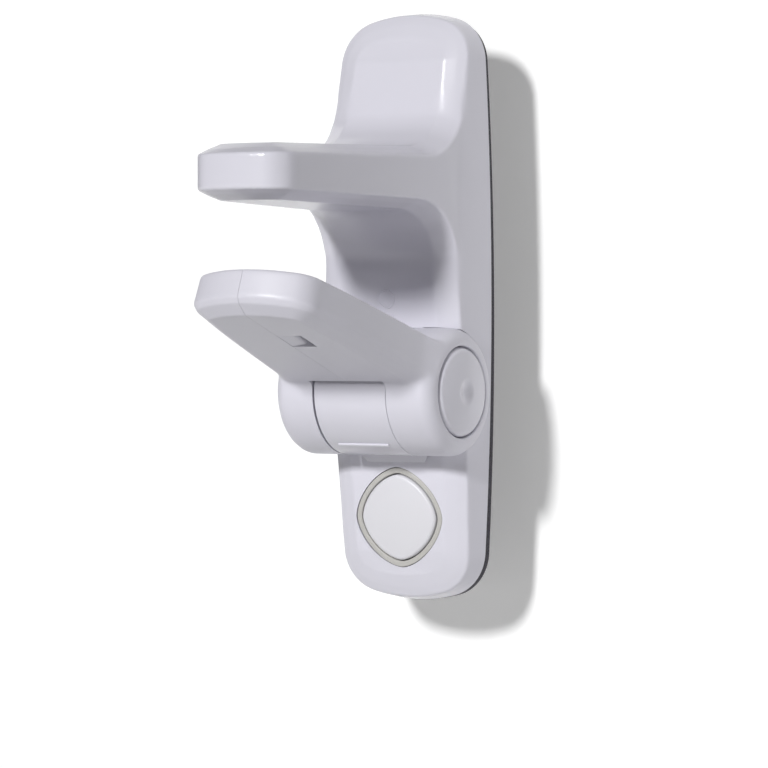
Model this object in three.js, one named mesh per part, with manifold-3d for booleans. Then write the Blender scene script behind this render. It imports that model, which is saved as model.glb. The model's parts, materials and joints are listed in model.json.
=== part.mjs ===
// A door lever lock. Its housing sticks to the door and carries a fixed upper arm. A lower arm
// closes the space under the door's lever, and swings down on a hinge while the two round
// buttons in the hinge's ends are pressed in. The diamond button below does nothing.
//
// Millimetres. The door is the plane y = 0, the front looks along -Y and +Z is up.
// Depths are distances in front of the door, so a depth d lies at y = -d.

import * as THREE from 'three';
import { mergeVertices } from 'three/addons/utils/BufferGeometryUtils.js';
import Module from 'manifold-3d';

// Housing: its outline on the door is made of side, corner and end arcs
const housingHalfHeight = 75.6;
const housingHalfWidth = 21.75;
const housingSideRadius = 1150;
const housingCornerRadius = 12;
const housingEndRadius = 42;
const housingWall = 2.4;
const housingDraftDepth = 13.8;

// Lean of the housing's sides, as shares of its half height and of the steepest lean
const housingSideDraft = 0.18;
const housingDraftShares = [[-1, 1], [-0.57, 0.94], [0, 0.64], [1, 0.68]];

// Depth of the housing's front edge, as shares of the half height and of the largest depth
const frontEdgeDepth = 16.3;
const frontEdgeShares = [
  [-1, 0.466], [-0.82, 0.552], [-0.569, 0.65], [-0.066, 0.92], [0.159, 1],
  [0.397, 0.94], [0.688, 0.755], [0.754, 0.665], [0.847, 0.59], [1, 0.485],
];

// The wide bevel along the front edges of the housing and both edges of the upper arm
const bevelWidth = 6;
const bevelDrop = 2.05;
const edgeRounding = 1.1;
const edgeShare = 0.3;
const edgeRiseShare = 0.85;

// Upper arm
const upperArmReach = 87.8;
const upperArmTop = 40.1;
const upperArmBottom = 24.3;
const upperArmTipTop = 38.75;
const upperArmTipBottom = 25.2;
const upperArmTaper = 0.098;
const upperArmTaperStart = 21;
const upperArmCornerRadius = 8;
const upperArmTipRadius = 34;
const upperFilletDepth = 28.5;
const lowerFilletDepth = 32.5;
const armRootFillet = 14;
const armRootShare = 0.9;

// Hinge of the lower arm
const hingeDepth = 19.3;
const hingeEndInset = 54;
const hingeHeight = hingeEndInset - housingHalfHeight;
const knuckleRadius = 16.2;
const knuckleHalfLength = 23.4;
const knuckleEndFillet = 4.2;
const seamPlace = 10.75;
const seamGap = 0.3;
const pocketClearance = 0.4;
const swingDegrees = 105;

// Lower arm, along its own underside, which rises from the hinge
const lowerArmAngle = 20.1;
const lowerArmReach = 69.8;
const lowerArmUnderside = 3.55;
const lowerArmTop = 9.65;
const lowerArmTopSlope = 0.04;
const lowerArmWall = 2.2;
const lowerArmBevelWidth = 4.8;
const lowerArmBevelDrop = 2.4;
const lowerArmBevelShare = 0.8;
const lowerArmTopRounding = 1.3;
const lowerArmSideLean = 0.06;
const lowerArmCornerRadius = 7;
const lowerArmTipRadius = 30;
const lowerArmTipHalfWidth = 17.4;
const lowerArmCutRadius = 18.2;
const lowerArmSeam = 0.2;

// Half width of the lower arm, as shares of its reach and of its half width at the tip
const lowerArmSideShares = [
  [0.07, 1.335], [0.17, 1.335], [0.225, 1.285], [0.27, 1.243], [0.345, 1.213], [0.53, 1.155], [0.7, 1.09],
];

// Snap window under the right half, and the left half's tongue in it
const windowStart = 43;
const windowLength = 7.8;
const windowWidth = 7.2;
const tongueLength = 5.8;
const tongueReach = 3.8;
const tongueRoot = 3;
const tongueThickness = 1.3;
const tongueRecess = 0.4;

// Side buttons
const sideButtonRadius = 11.85;
const sideButtonClearance = 0.25;
const sideButtonDome = 1.9;
const sideButtonRecess = 0.3;
const sideButtonWall = 2;
const sideButtonSkirt = 4.6;
const sideButtonTravel = 2.8;
const dimpleRadius = 2.6;
const dimpleDepth = 0.8;
const dimpleRimShare = 1.3;
const dimpleBowlShares = [0.5, 0.7];
const webThickness = 2.2;

// Lock plungers: a square shaft with two lugs that turn with the arm
const shaftHalfSide = 5.2;
const shaftClearance = 0.25;
const lugRadius = 10.5;
const lugThickness = 2.5;
const lugHalfAngle = 14;
const lugStartAngle = 90;
const lugClearance = 0.35;
const lugAngleClearance = 2;
const septumHalf = 1.2;
const stemRunClearance = 0.3;

// Journals of the arm in the centre knuckle, and the friction rings at their ends
const journalInner = 12.5;
const journalOuter = 14.2;
const journalLength = 1.6;
const frictionRingThickness = 0.6;
const frictionRingInset = 0.1;

// Hinge pin, its clips and the plunger springs
const pinRadius = 1.9;
const pinHalfLength = 16;
const pinChamfer = 0.3;
const pinGroove = 0.4;
const clipWidth = 1.65;
const clipThickness = 0.5;
const clipOpeningDegrees = 50;
const plungerSpringRadius = 4.2;
const plungerSpringWire = 0.8;
const plungerSpringTurns = 4;

// Neck under the centre knuckle, and the raised bar on the knuckle
const neckFrontDepth = 14.1;
const neckFoot = 2.3;
const barHalfWidth = 7.5;
const barHeight = 0.5;
const barThickness = 0.9;
const barDegrees = 235;

// Adhesive pad, back plate and its screws
const padThickness = 1.7;
const padInsetTop = 0.9;
const padInsetBottom = 0.05;
const backPlateThickness = 1;
const plateClearance = 0.3;
const screwSideInset = 9.75;
const screwEndInset = 10.6;
const screwHeadRadius = 2.4;
const screwHeadHeight = 0.8;
const screwShankRadius = 1.15;
const screwLength = 5;
const screwBossRadius = 3;

// Decoy button: a rounded diamond, square to the lower panel
const decoyEndInset = 21.6;
const decoyHalfDiagonal = 12.85;
const decoyRingWidth = 1.5;
const decoyRingHeight = 2.6;
const decoyRingRecess = 0.15;
const decoyFlangeWidth = 1.5;
const decoyFlangeThickness = 1.2;
const decoyPower = 1.65;
const decoyGap = 0.3;
const decoyCapProud = 0.4;
const decoyCapCrown = 0.6;
const decoyCapWall = 1.6;
const decoyCapRounding = 0.9;
const decoyCapCrownShares = [[0.6, 0.7], [0.25, 1]];
const decoyCapFlange = 1.4;
const decoyTravel = 1.2;
const decoySpringRadius = 3.6;
const decoySpringWire = 0.8;
const decoySpringTurns = 3;
const decoySeatRadius = 5;
const decoySeatRoom = 1.3;

// Clearance for touching pieces, overrun of cuts, and the least distance between two corners
const clearance = 0.3;
const overrun = 2;
const weldDistance = 0.0002;

// Facets
const knuckleFacets = 40;
const smallFacets = 16;
const sectorDegrees = 24;
const outlineSideSteps = 18;
const filletSteps = 5;
const tipShares = [0.5, 1];
const springSides = 5;
const springStepsPerTurn = 8;

const degrees = Math.PI / 180;
const quarterTurn = Math.PI / 2;

// Solids: closed meshes are joined and cut, and come back as geometry

const wasm = await Module();
wasm.setup();

function toSolid(geometry) {
  const bare = geometry.clone();
  bare.deleteAttribute('normal');
  bare.deleteAttribute('uv');
  const merged = mergeVertices(bare, weldDistance);
  const corner = (n) => new THREE.Vector3().fromBufferAttribute(merged.attributes.position, n);
  const faces = [];
  let volume = 0;
  for (let n = 0; n < merged.index.count; n += 3) {
    const [a, b, c] = [0, 1, 2].map((k) => merged.index.getX(n + k));
    if (a === b || b === c || c === a) continue;
    faces.push([a, b, c]);
    volume += corner(a).dot(corner(b).cross(corner(c)));
  }
  const triVerts = new Uint32Array(faces.map((face) => (volume < 0 ? face.reverse() : face)).flat());
  const vertProperties = new Float32Array(merged.attributes.position.array);
  return new wasm.Manifold(new wasm.Mesh({ numProp: 3, vertProperties, triVerts }));
}

function toGeometry(solid) {
  const mesh = solid.getMesh();
  const geometry = new THREE.BufferGeometry();
  geometry.setAttribute('position', new THREE.BufferAttribute(mesh.vertProperties, mesh.numProp));
  geometry.setIndex(new THREE.BufferAttribute(mesh.triVerts, 1));
  geometry.computeVertexNormals();
  return geometry;
}

const joinAll = (solids) => solids.reduce((whole, piece) => whole.add(piece));
const cutAll = (solid, tools) => tools.reduce((rest, tool) => rest.subtract(tool), solid);
const interpolate = THREE.MathUtils.lerp;

// A value read between the rows of a table
function between(rows, place) {
  const next = rows.findIndex(([at], n) => n > 0 && (at >= place || n === rows.length - 1));
  const [[fromPlace, fromValue], [toPlace, toValue]] = [rows[next - 1], rows[next]];
  const share = THREE.MathUtils.clamp((place - fromPlace) / (toPlace - fromPlace), 0, 1);
  return interpolate(fromValue, toValue, share);
}

// A solid through rings that are mirror images left and right. Each ring lists only the points of
// its right side, in order, and the first and last ring are closed by rungs from side to side.
function mirrorLoft(rings) {
  const positions = [];
  const index = [];
  const add = (x, y, z) => positions.push(x, y, z) / 3 - 1;
  const right = rings.map((ring) => ring.map((p) => add(p.x, p.y, p.z)));
  const left = rings.map((ring, j) => ring.map((p, i) => (p.x === 0 ? right[j][i] : add(-p.x, p.y, p.z))));
  const quad = (a, b, c, d) => index.push(a, b, c, a, c, d);
  const end = rings[0].length - 1;
  const top = rings.length - 1;
  for (let j = 0; j < top; j += 1) {
    for (let i = 0; i < end; i += 1) {
      quad(right[j][i], right[j][i + 1], right[j + 1][i + 1], right[j + 1][i]);
      quad(left[j][i], left[j + 1][i], left[j + 1][i + 1], left[j][i + 1]);
    }
    quad(right[j][0], right[j + 1][0], left[j + 1][0], left[j][0]);
    quad(right[j][end], left[j][end], left[j + 1][end], right[j + 1][end]);
  }
  for (let i = 0; i < end; i += 1) {
    quad(right[0][i], left[0][i], left[0][i + 1], right[0][i + 1]);
    quad(right[top][i], right[top][i + 1], left[top][i + 1], left[top][i]);
  }
  const geometry = new THREE.BufferGeometry();
  geometry.setAttribute('position', new THREE.Float32BufferAttribute(positions, 3));
  geometry.setIndex(index);
  return toSolid(geometry);
}

function box(from, to) {
  const size = new THREE.Vector3().subVectors(to, from);
  const middle = new THREE.Vector3().addVectors(from, to).multiplyScalar(0.5);
  return new THREE.BoxGeometry(size.x, size.y, size.z).translate(middle.x, middle.y, middle.z);
}

// Turns a profile of [place along X, radius] rows about the hinge's axis
function turned(profile, facets = knuckleFacets) {
  const points = profile.map(([along, radius]) => new THREE.Vector2(radius, along));
  const geometry = new THREE.LatheGeometry(points, facets).rotateZ(-quarterTurn);
  return toSolid(geometry.translate(0, -hingeDepth, hingeHeight));
}

const rod = (radius, from, to, facets) => turned([[from, 0], [from, radius], [to, radius], [to, 0]], facets);

function tube(inner, outer, from, to, facets) {
  return turned([[from, inner], [from, outer], [to, outer], [to, inner], [from, inner]], facets);
}

// A flat shape pushed along X. Angles in it run from the door over the top to the front.
function pushed(shape, from, to, curveSegments = 1) {
  const geometry = new THREE.ExtrudeGeometry(shape, { depth: to - from, bevelEnabled: false, curveSegments });
  const turn = new THREE.Matrix4().makeBasis(
    new THREE.Vector3(0, 1, 0), new THREE.Vector3(0, 0, 1), new THREE.Vector3(1, 0, 0),
  );
  return geometry.applyMatrix4(turn).translate(from, 0, 0);
}

function sector(inner, outer, fromDegrees, toDegrees, from, to) {
  const shape = new THREE.Shape();
  shape.absarc(0, 0, outer, fromDegrees * degrees, toDegrees * degrees, false);
  shape.absarc(0, 0, inner, toDegrees * degrees, fromDegrees * degrees, true);
  shape.closePath();
  const segments = Math.ceil((toDegrees - fromDegrees) / sectorDegrees);
  return toSolid(pushed(shape, from, to, segments).translate(0, -hingeDepth, hingeHeight));
}

function polygonAcross(points, halfWidth) {
  const shape = new THREE.Shape(points.map(([depth, height]) => new THREE.Vector2(-depth, height)));
  return toSolid(pushed(shape, -halfWidth, halfWidth));
}

// A rod that stands on the door at (x, z), between two depths
function post(radius, x, z, fromDepth, toDepth) {
  const geometry = new THREE.CylinderGeometry(radius, radius, toDepth - fromDepth, smallFacets);
  return toSolid(geometry.translate(x, -(fromDepth + toDepth) / 2, z));
}

// A coil spring of round wire along a straight line, and its least gap to itself
function coil(radius, wire, turns, length, place) {
  const run = length - wire;
  const steps = springStepsPerTurn * turns;
  const points = Array.from({ length: steps + 1 }, (_, n) => {
    const angle = (n / springStepsPerTurn) * 360 * degrees;
    const along = wire / 2 + (run * n) / steps;
    return new THREE.Vector3(radius * Math.cos(angle), radius * Math.sin(angle), along);
  });
  const section = new THREE.Shape(Array.from({ length: springSides }, (_, n) => {
    const angle = (n / springSides) * 360 * degrees;
    return new THREE.Vector2(Math.cos(angle) * (wire / 2), Math.sin(angle) * (wire / 2));
  }));
  const path = new THREE.CatmullRomCurve3(points);
  const geometry = new THREE.ExtrudeGeometry(section, { steps, extrudePath: path, bevelEnabled: false });
  let gap = Infinity;
  points.forEach((p, n) => points.slice(n + springStepsPerTurn - 1).forEach((q) => {
    gap = Math.min(gap, p.distanceTo(q) - wire);
  }));
  console.log(`least gap of a spring to itself: ${gap.toFixed(2)} mm`);
  return toSolid(geometry.applyMatrix4(place));
}

// Housing outline: the right side's points, from the middle of the top to the middle of the bottom

function housingStations() {
  const sideCentre = housingHalfWidth - housingSideRadius;
  const endCentre = housingHalfHeight - housingEndRadius;
  const sideReach = housingSideRadius - housingCornerRadius;
  const endReach = housingEndRadius - housingCornerRadius;
  const apart = Math.hypot(sideCentre, endCentre);
  const along = (sideReach ** 2 - endReach ** 2 + apart ** 2) / (2 * apart);
  const off = Math.sqrt(sideReach ** 2 - along ** 2);
  const cornerX = sideCentre - (along * sideCentre + off * endCentre) / apart;
  const cornerZ = (along * endCentre - off * sideCentre) / apart;
  const arc = (x, z, radius, from, to, steps) => Array.from({ length: steps }, (_, n) => (
    { x, z, radius, angle: interpolate(from, to, n / steps) }
  ));
  const endAngle = Math.atan2(cornerZ - endCentre, cornerX);
  const sideAngle = Math.atan2(cornerZ, cornerX - sideCentre);
  const upper = [
    ...arc(0, endCentre, housingEndRadius, quarterTurn, endAngle, 3),
    ...arc(cornerX, cornerZ, housingCornerRadius, endAngle, sideAngle, 6),
  ];
  const lower = [
    ...arc(cornerX, -cornerZ, housingCornerRadius, -sideAngle, -endAngle, 6),
    ...arc(0, -endCentre, housingEndRadius, -endAngle, -quarterTurn, 3),
  ];
  const bottom = { x: 0, z: -endCentre, radius: housingEndRadius, angle: -quarterTurn };
  const side = arc(sideCentre, 0, housingSideRadius, sideAngle, -sideAngle, outlineSideSteps);
  return [...upper, ...side, ...lower, bottom];
}

const stations = housingStations();

function outlinePoint({ x, z, radius, angle }, inset, atEnd) {
  const reach = radius - inset;
  return { x: atEnd ? 0 : x + reach * Math.cos(angle), z: z + reach * Math.sin(angle) };
}

function outlineRing(insetAt, depthAt) {
  return stations.map((station, n) => {
    const atEnd = n === 0 || n === stations.length - 1;
    const rim = outlinePoint(station, 0, atEnd);
    const { x, z } = outlinePoint(station, insetAt(rim.z), atEnd);
    return new THREE.Vector3(x, -depthAt(rim.z), z);
  });
}

const frontEdge = (z) => frontEdgeDepth * between(frontEdgeShares, z / housingHalfHeight);
const frontFace = (z) => frontEdge(z) + bevelDrop;

function draftAt(z, depth) {
  const lean = housingSideDraft * between(housingDraftShares, z / housingHalfHeight);
  return lean * Math.min(depth - padThickness, housingDraftDepth);
}

function housingHalfWidthAt(z, depth) {
  const sideCentre = housingHalfWidth - housingSideRadius;
  return sideCentre + Math.sqrt(housingSideRadius ** 2 - z ** 2) - draftAt(z, depth);
}

// The housing's body, or the space inside it when drawn a wall smaller
function housingBody(wall, rearDepth) {
  const round = edgeRounding;
  const sideTop = (z) => frontEdge(z) - wall - round;
  const inset = (z) => wall + draftAt(z, sideTop(z));
  return mirrorLoft([
    outlineRing(() => wall, () => rearDepth),
    outlineRing(inset, sideTop),
    outlineRing((z) => inset(z) + round * edgeShare, (z) => sideTop(z) + round * edgeRiseShare),
    outlineRing((z) => inset(z) + round, (z) => frontEdge(z) - wall + round * (bevelDrop / bevelWidth)),
    outlineRing((z) => inset(z) + bevelWidth, (z) => frontFace(z) - wall),
  ]);
}

// Upper arm: its plan narrows to a crowned tip, and its root swells into the housing

const armMiddle = (upperArmTop + upperArmBottom) / 2;
const upperArmLine = (rootHeight, tipHeight, filletDepth) => (depth) => (
  interpolate(rootHeight, tipHeight, (depth - filletDepth) / (upperArmReach - filletDepth))
);
const upperArmTopLine = upperArmLine(upperArmTop, upperArmTipTop, upperFilletDepth);
const upperArmBottomLine = upperArmLine(upperArmBottom, upperArmTipBottom, lowerFilletDepth);

function upperArmHalfWidth(z, depth) {
  const taper = upperArmTaper * Math.max(0, depth - upperArmTaperStart);
  return housingHalfWidthAt(z, depth) - taper;
}

// One level of the arm: side is 1 on the top and -1 on the underside, inward is how far the level
// lies inside the arm's surface there, and inset is how far it lies inside the arm's plan
function upperArmRing(side, inward, inset, rootShare) {
  const filletDepth = side > 0 ? upperFilletDepth : lowerFilletDepth;
  const line = side > 0 ? upperArmTopLine : upperArmBottomLine;
  const fillet = armRootFillet + inward;
  const points = [];
  for (let n = 0; n < filletSteps; n += 1) {
    const angle = interpolate(rootShare * quarterTurn, 0, n / filletSteps);
    const depth = filletDepth - fillet * Math.sin(angle);
    const z = line(filletDepth) + side * (armRootFillet - fillet * Math.cos(angle));
    const level = interpolate(armMiddle, z, Math.sin(angle));
    points.push(new THREE.Vector3(upperArmHalfWidth(level, depth) - inset, -depth, z));
  }
  const tipCentre = upperArmReach - upperArmTipRadius;
  const reach = upperArmTipRadius - upperArmCornerRadius;
  const flat = (depth, x) => new THREE.Vector3(x, -depth, line(depth) - side * inward);
  const sideAt = (depth) => upperArmHalfWidth(armMiddle, depth);
  const cornerX = sideAt(tipCentre + reach) - upperArmCornerRadius;
  const cornerDepth = tipCentre + Math.sqrt(reach ** 2 - cornerX ** 2);
  const straight = [Math.max(upperFilletDepth, lowerFilletDepth), (filletDepth + cornerDepth) / 2];
  straight.forEach((depth) => points.push(flat(depth, sideAt(depth) - inset)));
  const tipAngle = Math.atan2(cornerDepth - tipCentre, cornerX);
  const corner = Math.max(upperArmCornerRadius - inset, weldDistance);
  for (let n = 0; n <= filletSteps; n += 1) {
    const angle = interpolate(0, tipAngle, n / filletSteps);
    points.push(flat(cornerDepth + corner * Math.sin(angle), cornerX + corner * Math.cos(angle)));
  }
  const front = upperArmTipRadius - inset;
  tipShares.forEach((share) => {
    const angle = interpolate(tipAngle, quarterTurn, share);
    points.push(flat(tipCentre + front * Math.sin(angle), share === 1 ? 0 : front * Math.cos(angle)));
  });
  return points;
}

function upperArmBody(wall, rootShare) {
  const round = edgeRounding;
  const level = (side, inward, inset) => upperArmRing(side, inward + wall, inset + wall, rootShare);
  const half = (side) => [
    level(side, bevelDrop + round, 0),
    level(side, bevelDrop + round * (1 - edgeRiseShare), round * edgeShare),
    level(side, bevelDrop - round * (bevelDrop / bevelWidth), round),
    level(side, 0, bevelWidth - wall),
  ];
  return mirrorLoft([...half(-1).reverse(), ...half(1)]);
}

// Hinge: places along X, for the right side. The left side is its mirror.

const knuckleFace = seamPlace - seamGap / 2;
const armFace = seamPlace + seamGap / 2;
const webOuter = armFace + webThickness;
const chamberRadius = sideButtonRadius + sideButtonClearance;
const lugOuter = knuckleFace - clearance / 2;
const lugInner = lugOuter - lugThickness;
const grooveOuter = lugInner - clearance / 2;
const grooveInner = lugInner - sideButtonTravel - clearance;
const shaftCorner = shaftHalfSide * Math.SQRT2;
const hubRadius = shaftCorner + shaftClearance;
const journalEnd = armFace - journalLength;
const frictionRingOuter = journalEnd - clearance;
const frictionRingInner = frictionRingOuter - frictionRingThickness;
const recessFloor = frictionRingInner - clearance;
const buttonEdge = knuckleHalfLength - sideButtonRecess;
const buttonInside = buttonEdge - sideButtonWall;
const shaftEnd = buttonInside - stemRunClearance;
const springStart = septumHalf + clearance;
const springEnd = lugInner - clearance;

const sides = [['right', 1], ['left', -1]];
const mirrored = (solid, sign) => (sign > 0 ? solid : solid.mirror([1, 0, 0]));

function centreKnuckle() {
  return rod(knuckleRadius, -knuckleFace, knuckleFace);
}

// Space in the centre knuckle for one plunger, its spring and the arm's journal
function centreKnuckleCuts(sign) {
  const slot = (start) => sector(
    shaftHalfSide, lugRadius + lugClearance,
    start - lugHalfAngle - lugAngleClearance, start + swingDegrees + lugHalfAngle + lugAngleClearance,
    grooveOuter - overrun / 2, knuckleFace + overrun,
  );
  const tools = [
    rod(plungerSpringRadius + plungerSpringWire / 2 + clearance * 2, septumHalf, knuckleFace),
    rod(hubRadius + clearance, grooveInner, knuckleFace + overrun),
    rod(lugRadius + lugClearance, grooveInner, grooveOuter),
    slot(lugStartAngle),
    slot(lugStartAngle + 180),
    tube(journalInner - clearance, journalOuter + clearance, recessFloor, knuckleFace + overrun),
  ];
  return tools.map((tool) => mirrored(tool, sign));
}

function neck() {
  const footHeight = hingeHeight - knuckleRadius - neckFoot;
  return polygonAcross([
    [hingeDepth, hingeHeight - knuckleRadius + clearance],
    [neckFrontDepth, footHeight],
    [padThickness + backPlateThickness + plateClearance * 2, footHeight],
    [padThickness + backPlateThickness + plateClearance * 2, hingeHeight],
    [hingeDepth, hingeHeight],
  ], knuckleFace);
}

function knuckleBar() {
  const reach = knuckleRadius + barHeight;
  const geometry = box(
    new THREE.Vector3(-barHalfWidth, knuckleRadius / 2, -barThickness / 2),
    new THREE.Vector3(barHalfWidth, reach, barThickness / 2),
  );
  return toSolid(geometry.rotateX(barDegrees * degrees).translate(0, -hingeDepth, hingeHeight));
}

// Decoy button, in a frame on the lower panel: x across, s up along it and h out of it

const decoyHeight = decoyEndInset - housingHalfHeight;
const depthAbove = frontFace(decoyHeight + decoyHalfDiagonal);
const depthBelow = frontFace(decoyHeight - decoyHalfDiagonal);
const decoyTilt = Math.atan((depthAbove - depthBelow) / (2 * decoyHalfDiagonal));
const decoyDepth = (depthAbove + depthBelow) / 2;
const decoySteps = 16;

function onPanel(x, s, h) {
  return new THREE.Vector3(
    x,
    -decoyDepth - s * Math.sin(decoyTilt) - h * Math.cos(decoyTilt),
    decoyHeight + s * Math.cos(decoyTilt) - h * Math.sin(decoyTilt),
  );
}

function diamondRing(halfDiagonal, h) {
  return Array.from({ length: decoySteps + 1 }, (_, n) => {
    const angle = interpolate(quarterTurn, -quarterTurn, n / decoySteps);
    const reach = (value) => Math.sign(value) * Math.abs(value) ** (2 / decoyPower);
    const x = n === 0 || n === decoySteps ? 0 : halfDiagonal * reach(Math.cos(angle));
    return onPanel(x, halfDiagonal * reach(Math.sin(angle)), h);
  });
}

const diamond = (halfDiagonal, low, high) => (
  mirrorLoft([diamondRing(halfDiagonal, low), diamondRing(halfDiagonal, high)])
);

const ringBack = -decoyRingRecess - decoyRingHeight;
const capHalfDiagonal = decoyHalfDiagonal - decoyRingWidth - decoyGap;
const capFlangeTop = ringBack - decoyFlangeThickness - clearance;
const capBack = capFlangeTop - decoyFlangeThickness;
const capInside = decoyCapProud - decoyCapWall;
const plateFront = padThickness + backPlateThickness;
const seatBottom = -(decoyDepth - plateFront) / Math.cos(decoyTilt);
const seatTop = capBack - decoyTravel - decoySeatRoom;
const seatHeight = seatTop - seatBottom;

// Housing

function screwPlaces() {
  const across = housingHalfWidth - screwSideInset;
  const up = housingHalfHeight - screwEndInset;
  return [[-across, up], [across, up], [-across, -up], [across, -up]];
}

function baseHousing() {
  const plateSpace = plateFront + plateClearance;
  const outside = joinAll([
    housingBody(0, padThickness),
    upperArmBody(0, armRootShare),
    centreKnuckle(),
    neck(),
    knuckleBar(),
  ]);
  const inside = housingBody(housingWall, padThickness - overrun)
    .add(upperArmBody(housingWall, armRootShare));
  const pocketRadius = knuckleRadius + pocketClearance;
  const kept = [
    rod(pocketRadius + housingWall, -housingHalfWidth, housingHalfWidth),
    neck(),
    ...screwPlaces().map(([x, z]) => post(screwBossRadius, x, z, plateSpace, frontFace(z))),
  ];
  const plateRecess = mirrorLoft([
    outlineRing(() => housingWall, () => padThickness - overrun),
    outlineRing(() => housingWall, () => plateSpace),
  ]);
  const pockets = sides.map(([, sign]) => (
    mirrored(rod(pocketRadius, knuckleFace, knuckleHalfLength + overrun), sign)
  ));
  return cutAll(outside, [
    cutAll(inside, kept),
    plateRecess,
    ...pockets,
    ...sides.flatMap(([, sign]) => centreKnuckleCuts(sign)),
    rod(pinRadius + clearance, -knuckleFace, knuckleFace, smallFacets),
    diamond(decoyHalfDiagonal + decoyGap, seatBottom, overrun),
    diamond(decoyHalfDiagonal + decoyFlangeWidth + decoyGap, seatBottom, ringBack + clearance),
    ...screwPlaces().map(([x, z]) => (
      post(screwShankRadius + clearance / 2, x, z, padThickness, padThickness + screwLength + clearance)
    )),
  ]);
}

function backPlate() {
  const inset = housingWall + plateClearance;
  const plate = mirrorLoft([
    outlineRing(() => inset, () => padThickness),
    outlineRing(() => inset, () => plateFront),
  ]);
  const seat = new THREE.CylinderGeometry(decoySeatRadius, decoySeatRadius, seatHeight * 2, smallFacets);
  const seatMiddle = onPanel(0, 0, seatBottom);
  seat.rotateX(decoyTilt).translate(seatMiddle.x, seatMiddle.y, seatMiddle.z);
  const seatOnPlate = toSolid(seat).subtract(post(decoySeatRadius * 2, 0, decoyHeight, 0, padThickness));
  const holes = screwPlaces().flatMap(([x, z]) => [
    post(screwShankRadius + clearance, x, z, 0, plateFront + overrun),
    post(screwHeadRadius + clearance, x, z, padThickness - overrun, padThickness + screwHeadHeight),
  ]);
  return cutAll(plate.add(seatOnPlate), holes);
}

function backPlateScrew([x, z]) {
  const head = post(screwHeadRadius, x, z, padThickness, padThickness + screwHeadHeight - clearance / 2);
  return head.add(post(screwShankRadius, x, z, padThickness, padThickness + screwLength));
}

function adhesivePad() {
  const insetAt = (z) => interpolate(padInsetBottom, padInsetTop, (z / housingHalfHeight + 1) / 2);
  return mirrorLoft([outlineRing(insetAt, () => 0), outlineRing(insetAt, () => padThickness)]);
}

// Decoy button pieces

function decoyRing() {
  const body = diamond(decoyHalfDiagonal, ringBack - decoyFlangeThickness / 2, -decoyRingRecess);
  const flange = diamond(decoyHalfDiagonal + decoyFlangeWidth, ringBack - decoyFlangeThickness, ringBack);
  return body.add(flange).subtract(diamond(decoyHalfDiagonal - decoyRingWidth, ringBack - overrun, overrun));
}

function decoyCap() {
  const round = decoyCapRounding;
  const top = mirrorLoft([
    diamondRing(capHalfDiagonal, (capBack + capFlangeTop) / 2),
    diamondRing(capHalfDiagonal, decoyCapProud - round),
    diamondRing(capHalfDiagonal - round * edgeShare, decoyCapProud - round * edgeShare),
    diamondRing(capHalfDiagonal - round, decoyCapProud),
    ...decoyCapCrownShares.map(([out, up]) => (
      diamondRing(capHalfDiagonal * out, decoyCapProud + decoyCapCrown * up)
    )),
  ]);
  const flange = diamond(capHalfDiagonal + decoyCapFlange, capBack, capFlangeTop);
  return top.add(flange).subtract(diamond(capHalfDiagonal - decoyCapWall, capBack - overrun, capInside));
}

function decoySpring() {
  const length = capInside - seatTop - clearance * 2;
  const start = onPanel(0, 0, seatTop + clearance);
  const place = new THREE.Matrix4().makeRotationX(quarterTurn + decoyTilt).setPosition(start);
  return coil(decoySpringRadius, decoySpringWire, decoySpringTurns, length, place);
}

// Lower arm, in a frame on the hinge: l out along its underside and h up from it

const armAngle = lowerArmAngle * degrees;

function onArm(x, l, h) {
  return new THREE.Vector3(
    x,
    -hingeDepth - l * Math.cos(armAngle) + h * Math.sin(armAngle),
    hingeHeight + l * Math.sin(armAngle) + h * Math.cos(armAngle),
  );
}

const lowerArmTopAt = (l) => lowerArmTop - lowerArmTopSlope * l;

function lowerArmRing(heightAt, inset, rootShare) {
  const middle = lowerArmTop / 2;
  const corner = Math.max(lowerArmCornerRadius - inset, weldDistance);
  const tipCentre = lowerArmReach - lowerArmTipRadius;
  const cornerX = lowerArmTipHalfWidth - lowerArmCornerRadius;
  const reach = lowerArmTipRadius - lowerArmCornerRadius;
  const cornerL = tipCentre + Math.sqrt(reach ** 2 - cornerX ** 2);
  const at = (l, x) => {
    const h = heightAt(l);
    return onArm(x === 0 ? 0 : x - lowerArmSideLean * (h - middle), l, h);
  };
  const points = lowerArmSideShares.filter(([share]) => share >= rootShare).map(([share, wide]) => (
    at(share * lowerArmReach, wide * lowerArmTipHalfWidth - inset)
  ));
  const tipAngle = Math.atan2(cornerL - tipCentre, cornerX);
  for (let n = 0; n <= filletSteps; n += 1) {
    const angle = interpolate(0, tipAngle, n / filletSteps);
    points.push(at(cornerL + corner * Math.sin(angle), cornerX + corner * Math.cos(angle)));
  }
  const front = lowerArmTipRadius - inset;
  tipShares.forEach((share) => {
    const angle = interpolate(tipAngle, quarterTurn, share);
    points.push(at(tipCentre + front * Math.sin(angle), share === 1 ? 0 : front * Math.cos(angle)));
  });
  return points;
}

function lowerArmBlade(wall, rootShare) {
  const round = lowerArmTopRounding;
  const bottom = wall - lowerArmUnderside;
  const ring = (heightAt, inset) => lowerArmRing(heightAt, inset + wall, rootShare);
  return mirrorLoft([
    ring(() => bottom, lowerArmBevelWidth - wall),
    ring(() => bottom + lowerArmBevelDrop * lowerArmBevelShare, round / 2),
    ring(() => bottom + lowerArmBevelDrop + round / 2, 0),
    ring((l) => lowerArmTopAt(l) - wall - round, 0),
    ring((l) => lowerArmTopAt(l) - wall - round * edgeShare, round * edgeShare),
    ring((l) => lowerArmTopAt(l) - wall, round),
  ]);
}

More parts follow.
